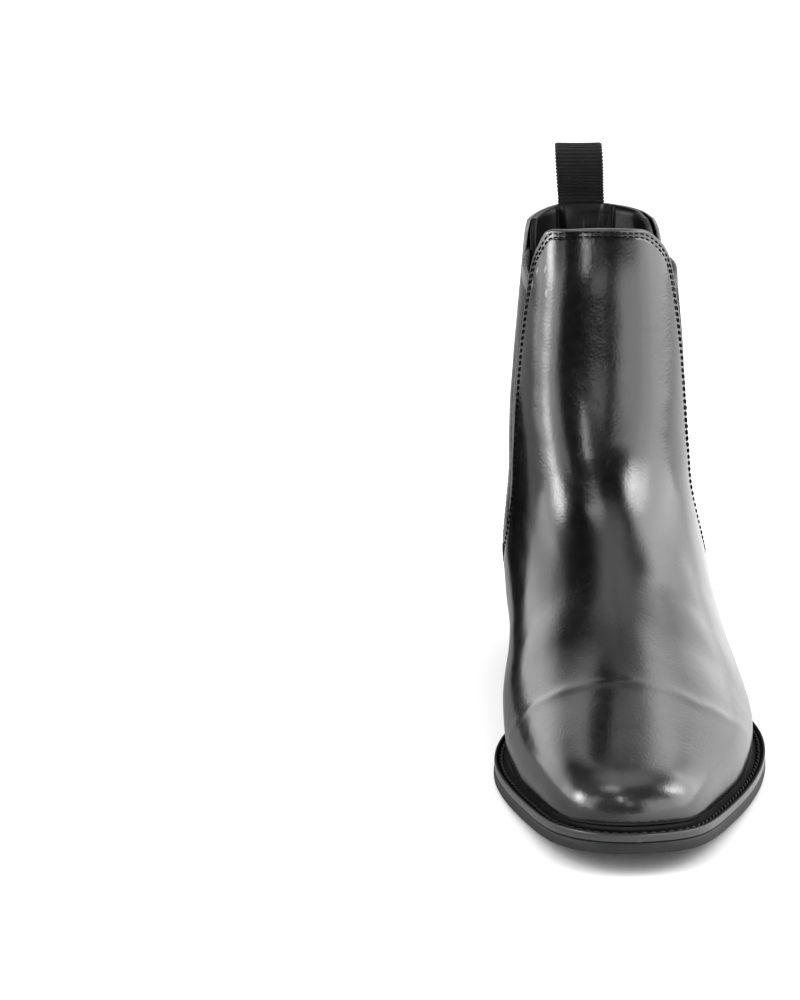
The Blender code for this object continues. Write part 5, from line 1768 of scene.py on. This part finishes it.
# =====================================================================
# Table and card, metres
# =====================================================================
def table_material():
    """Pale; its brightness in reflections grows from the medial to the lateral side."""
    make = Material("pale_table")
    spots = make.noise(6.0)
    pale = make.mix(make.remap(spots, (0.3, 0.7)), (0.92, 0.92, 0.92), (0.94, 0.94, 0.94))
    reflected = make.node("ShaderNodeLightPath").outputs["Is Glossy Ray"]
    place = make.node("ShaderNodeSeparateXYZ", {0: make.place})
    mirrored = make.mix(make.remap(place.outputs["X"], (-0.08, 0.10)),
                        (0.28, 0.28, 0.28), (0.80, 0.80, 0.80))
    pale = make.mix(reflected, pale, mirrored)
    normal = make.bump(make.noise(400.0, detail=2.0), strength=0.02, distance=0.0002)
    return make.done(pale, 0.2, normal, Specular_IOR_Level=0.0)


def add_table():
    material = table_material()
    xs, ys = np.linspace(-3, 3, 25), np.linspace(-3, 6, 19)
    data = bpy.data.meshes.new("table")
    data.from_pydata([(float(x), float(y), 0.0) for x in xs for y in ys], [],
                     grid_faces(len(xs), len(ys)).tolist())
    data.polygons.foreach_set("use_smooth", np.ones(len(data.polygons), bool))
    data.materials.append(material)
    table = add_object("table", data)
    table.location = (0, 0, -0.0002)


def add_card():
    """A black block, seen in reflections only, behind the heel on the medial side."""
    data = bpy.data.meshes.new("card")
    corners = [(x, y, z) for x in (-0.27, -0.12) for y in (0.2, 0.33) for z in (0.0, 0.055)]
    data.from_pydata(corners, [], [(0, 1, 3, 2), (4, 6, 7, 5), (0, 4, 5, 1), (2, 3, 7, 6),
                                   (1, 5, 7, 3), (0, 2, 6, 4)])
    make = Material("black_card")
    colour = make.mix(make.noise(20.0), (0.004, 0.004, 0.004), (0.008, 0.008, 0.008))
    data.materials.append(make.done(colour, 0.9, Specular_IOR_Level=0.0))
    card = add_object("black_flag", data)
    for ray in ("camera", "diffuse", "shadow", "transmission", "volume_scatter"):
        setattr(card, "visible_" + ray, False)


add_table()
add_card()

# =====================================================================
# World: even light, but a room of soft boxes in reflections
# =====================================================================
# (azimuth from -Y towards +X, elevation, half width, half height, edge: degrees; brightness)
ROOM = [
    (92, 20, 30, 30, 12, 2.3), (82, 33, 8, 12, 8, 2.3), (41, 10, 21, 15, 8, 1.6),
    (143, 14, 24, 22, 12, 1.0), (-148, 8, 14, 16, 8, 0.8), (-78, 6, 31, 15, 8, 1.7),
    (-122, 6, 16, 20, 10, 1.2), (-30, 57, 20, 8, 7, 1.7), (-45, 23, 4, 6, 4, 1.2),
    (5, 20, 3, 6, 3, 1.6), (135, 50, 20, 10, 10, 1.3), (0, 92, 180, 27, 12, 0.7),
    (178, 28, 40, 28, 12, 0.8), (-165, 49, 7, 5, 4, -1.4), (-7, 34, 3.5, 2.5, 2, 6.0),
    (-7, 27, 3, 1.8, 1.5, 8.0), (-77, 15, 9, 8, 7, 5.5), (65, 38, 9, 8, 7, 4.6)]
ROOM_BASE = 0.025           # brightness between the boxes
EVEN_LIGHT = 1.15


def room_brightness(graph, direction):
    def fade(away, half, soft):
        return graph.remap(away, (half + soft, half - soft), kind='SMOOTHSTEP')

    way = graph.node("ShaderNodeSeparateXYZ", {0: direction}).outputs
    azimuth = graph.math('DEGREES', graph.math('ARCTAN2', way["X"],
                                               graph.math('MULTIPLY', way["Y"], -1.0)))
    elevation = graph.math('DEGREES', graph.math('ARCSINE', way["Z"]))
    total = None
    for turn, rise, half_width, half_height, soft, power in ROOM:
        away = graph.math('ABSOLUTE', graph.math('SUBTRACT', azimuth, turn))
        away = graph.math('MINIMUM', away, graph.math('SUBTRACT', 360.0, away))
        across = fade(away, half_width, soft)
        away = graph.math('ABSOLUTE', graph.math('SUBTRACT', elevation, rise))
        upright = fade(away, half_height, soft)
        box = graph.math('MULTIPLY', graph.math('MULTIPLY', across, upright), power)
        total = box if total is None else graph.math('ADD', total, box)
    return graph.math('MAXIMUM', graph.math('ADD', total, ROOM_BASE), 0.0)


def add_world():
    world = bpy.data.worlds.new("studio")
    bpy.context.scene.world = world
    world.use_nodes = True
    world.cycles.sampling_method = 'NONE'
    graph = Graph(world.node_tree)
    background = world.node_tree.nodes["Background"]
    reflected = graph.node("ShaderNodeLightPath").outputs["Is Glossy Ray"]
    direction = graph.node("ShaderNodeTexCoord").outputs["Generated"]
    room = room_brightness(graph, direction)
    strength = graph.node("ShaderNodeMix", {0: reflected, 2: EVEN_LIGHT, 3: room},
                          data_type='FLOAT')
    graph.feed(background.inputs["Strength"], strength.outputs[0])
    background.inputs["Color"].default_value = (1, 1, 1, 1)


add_world()
bpy.context.scene.view_settings.view_transform = 'Standard'
bpy.context.scene.view_settings.look = 'Medium High Contrast'
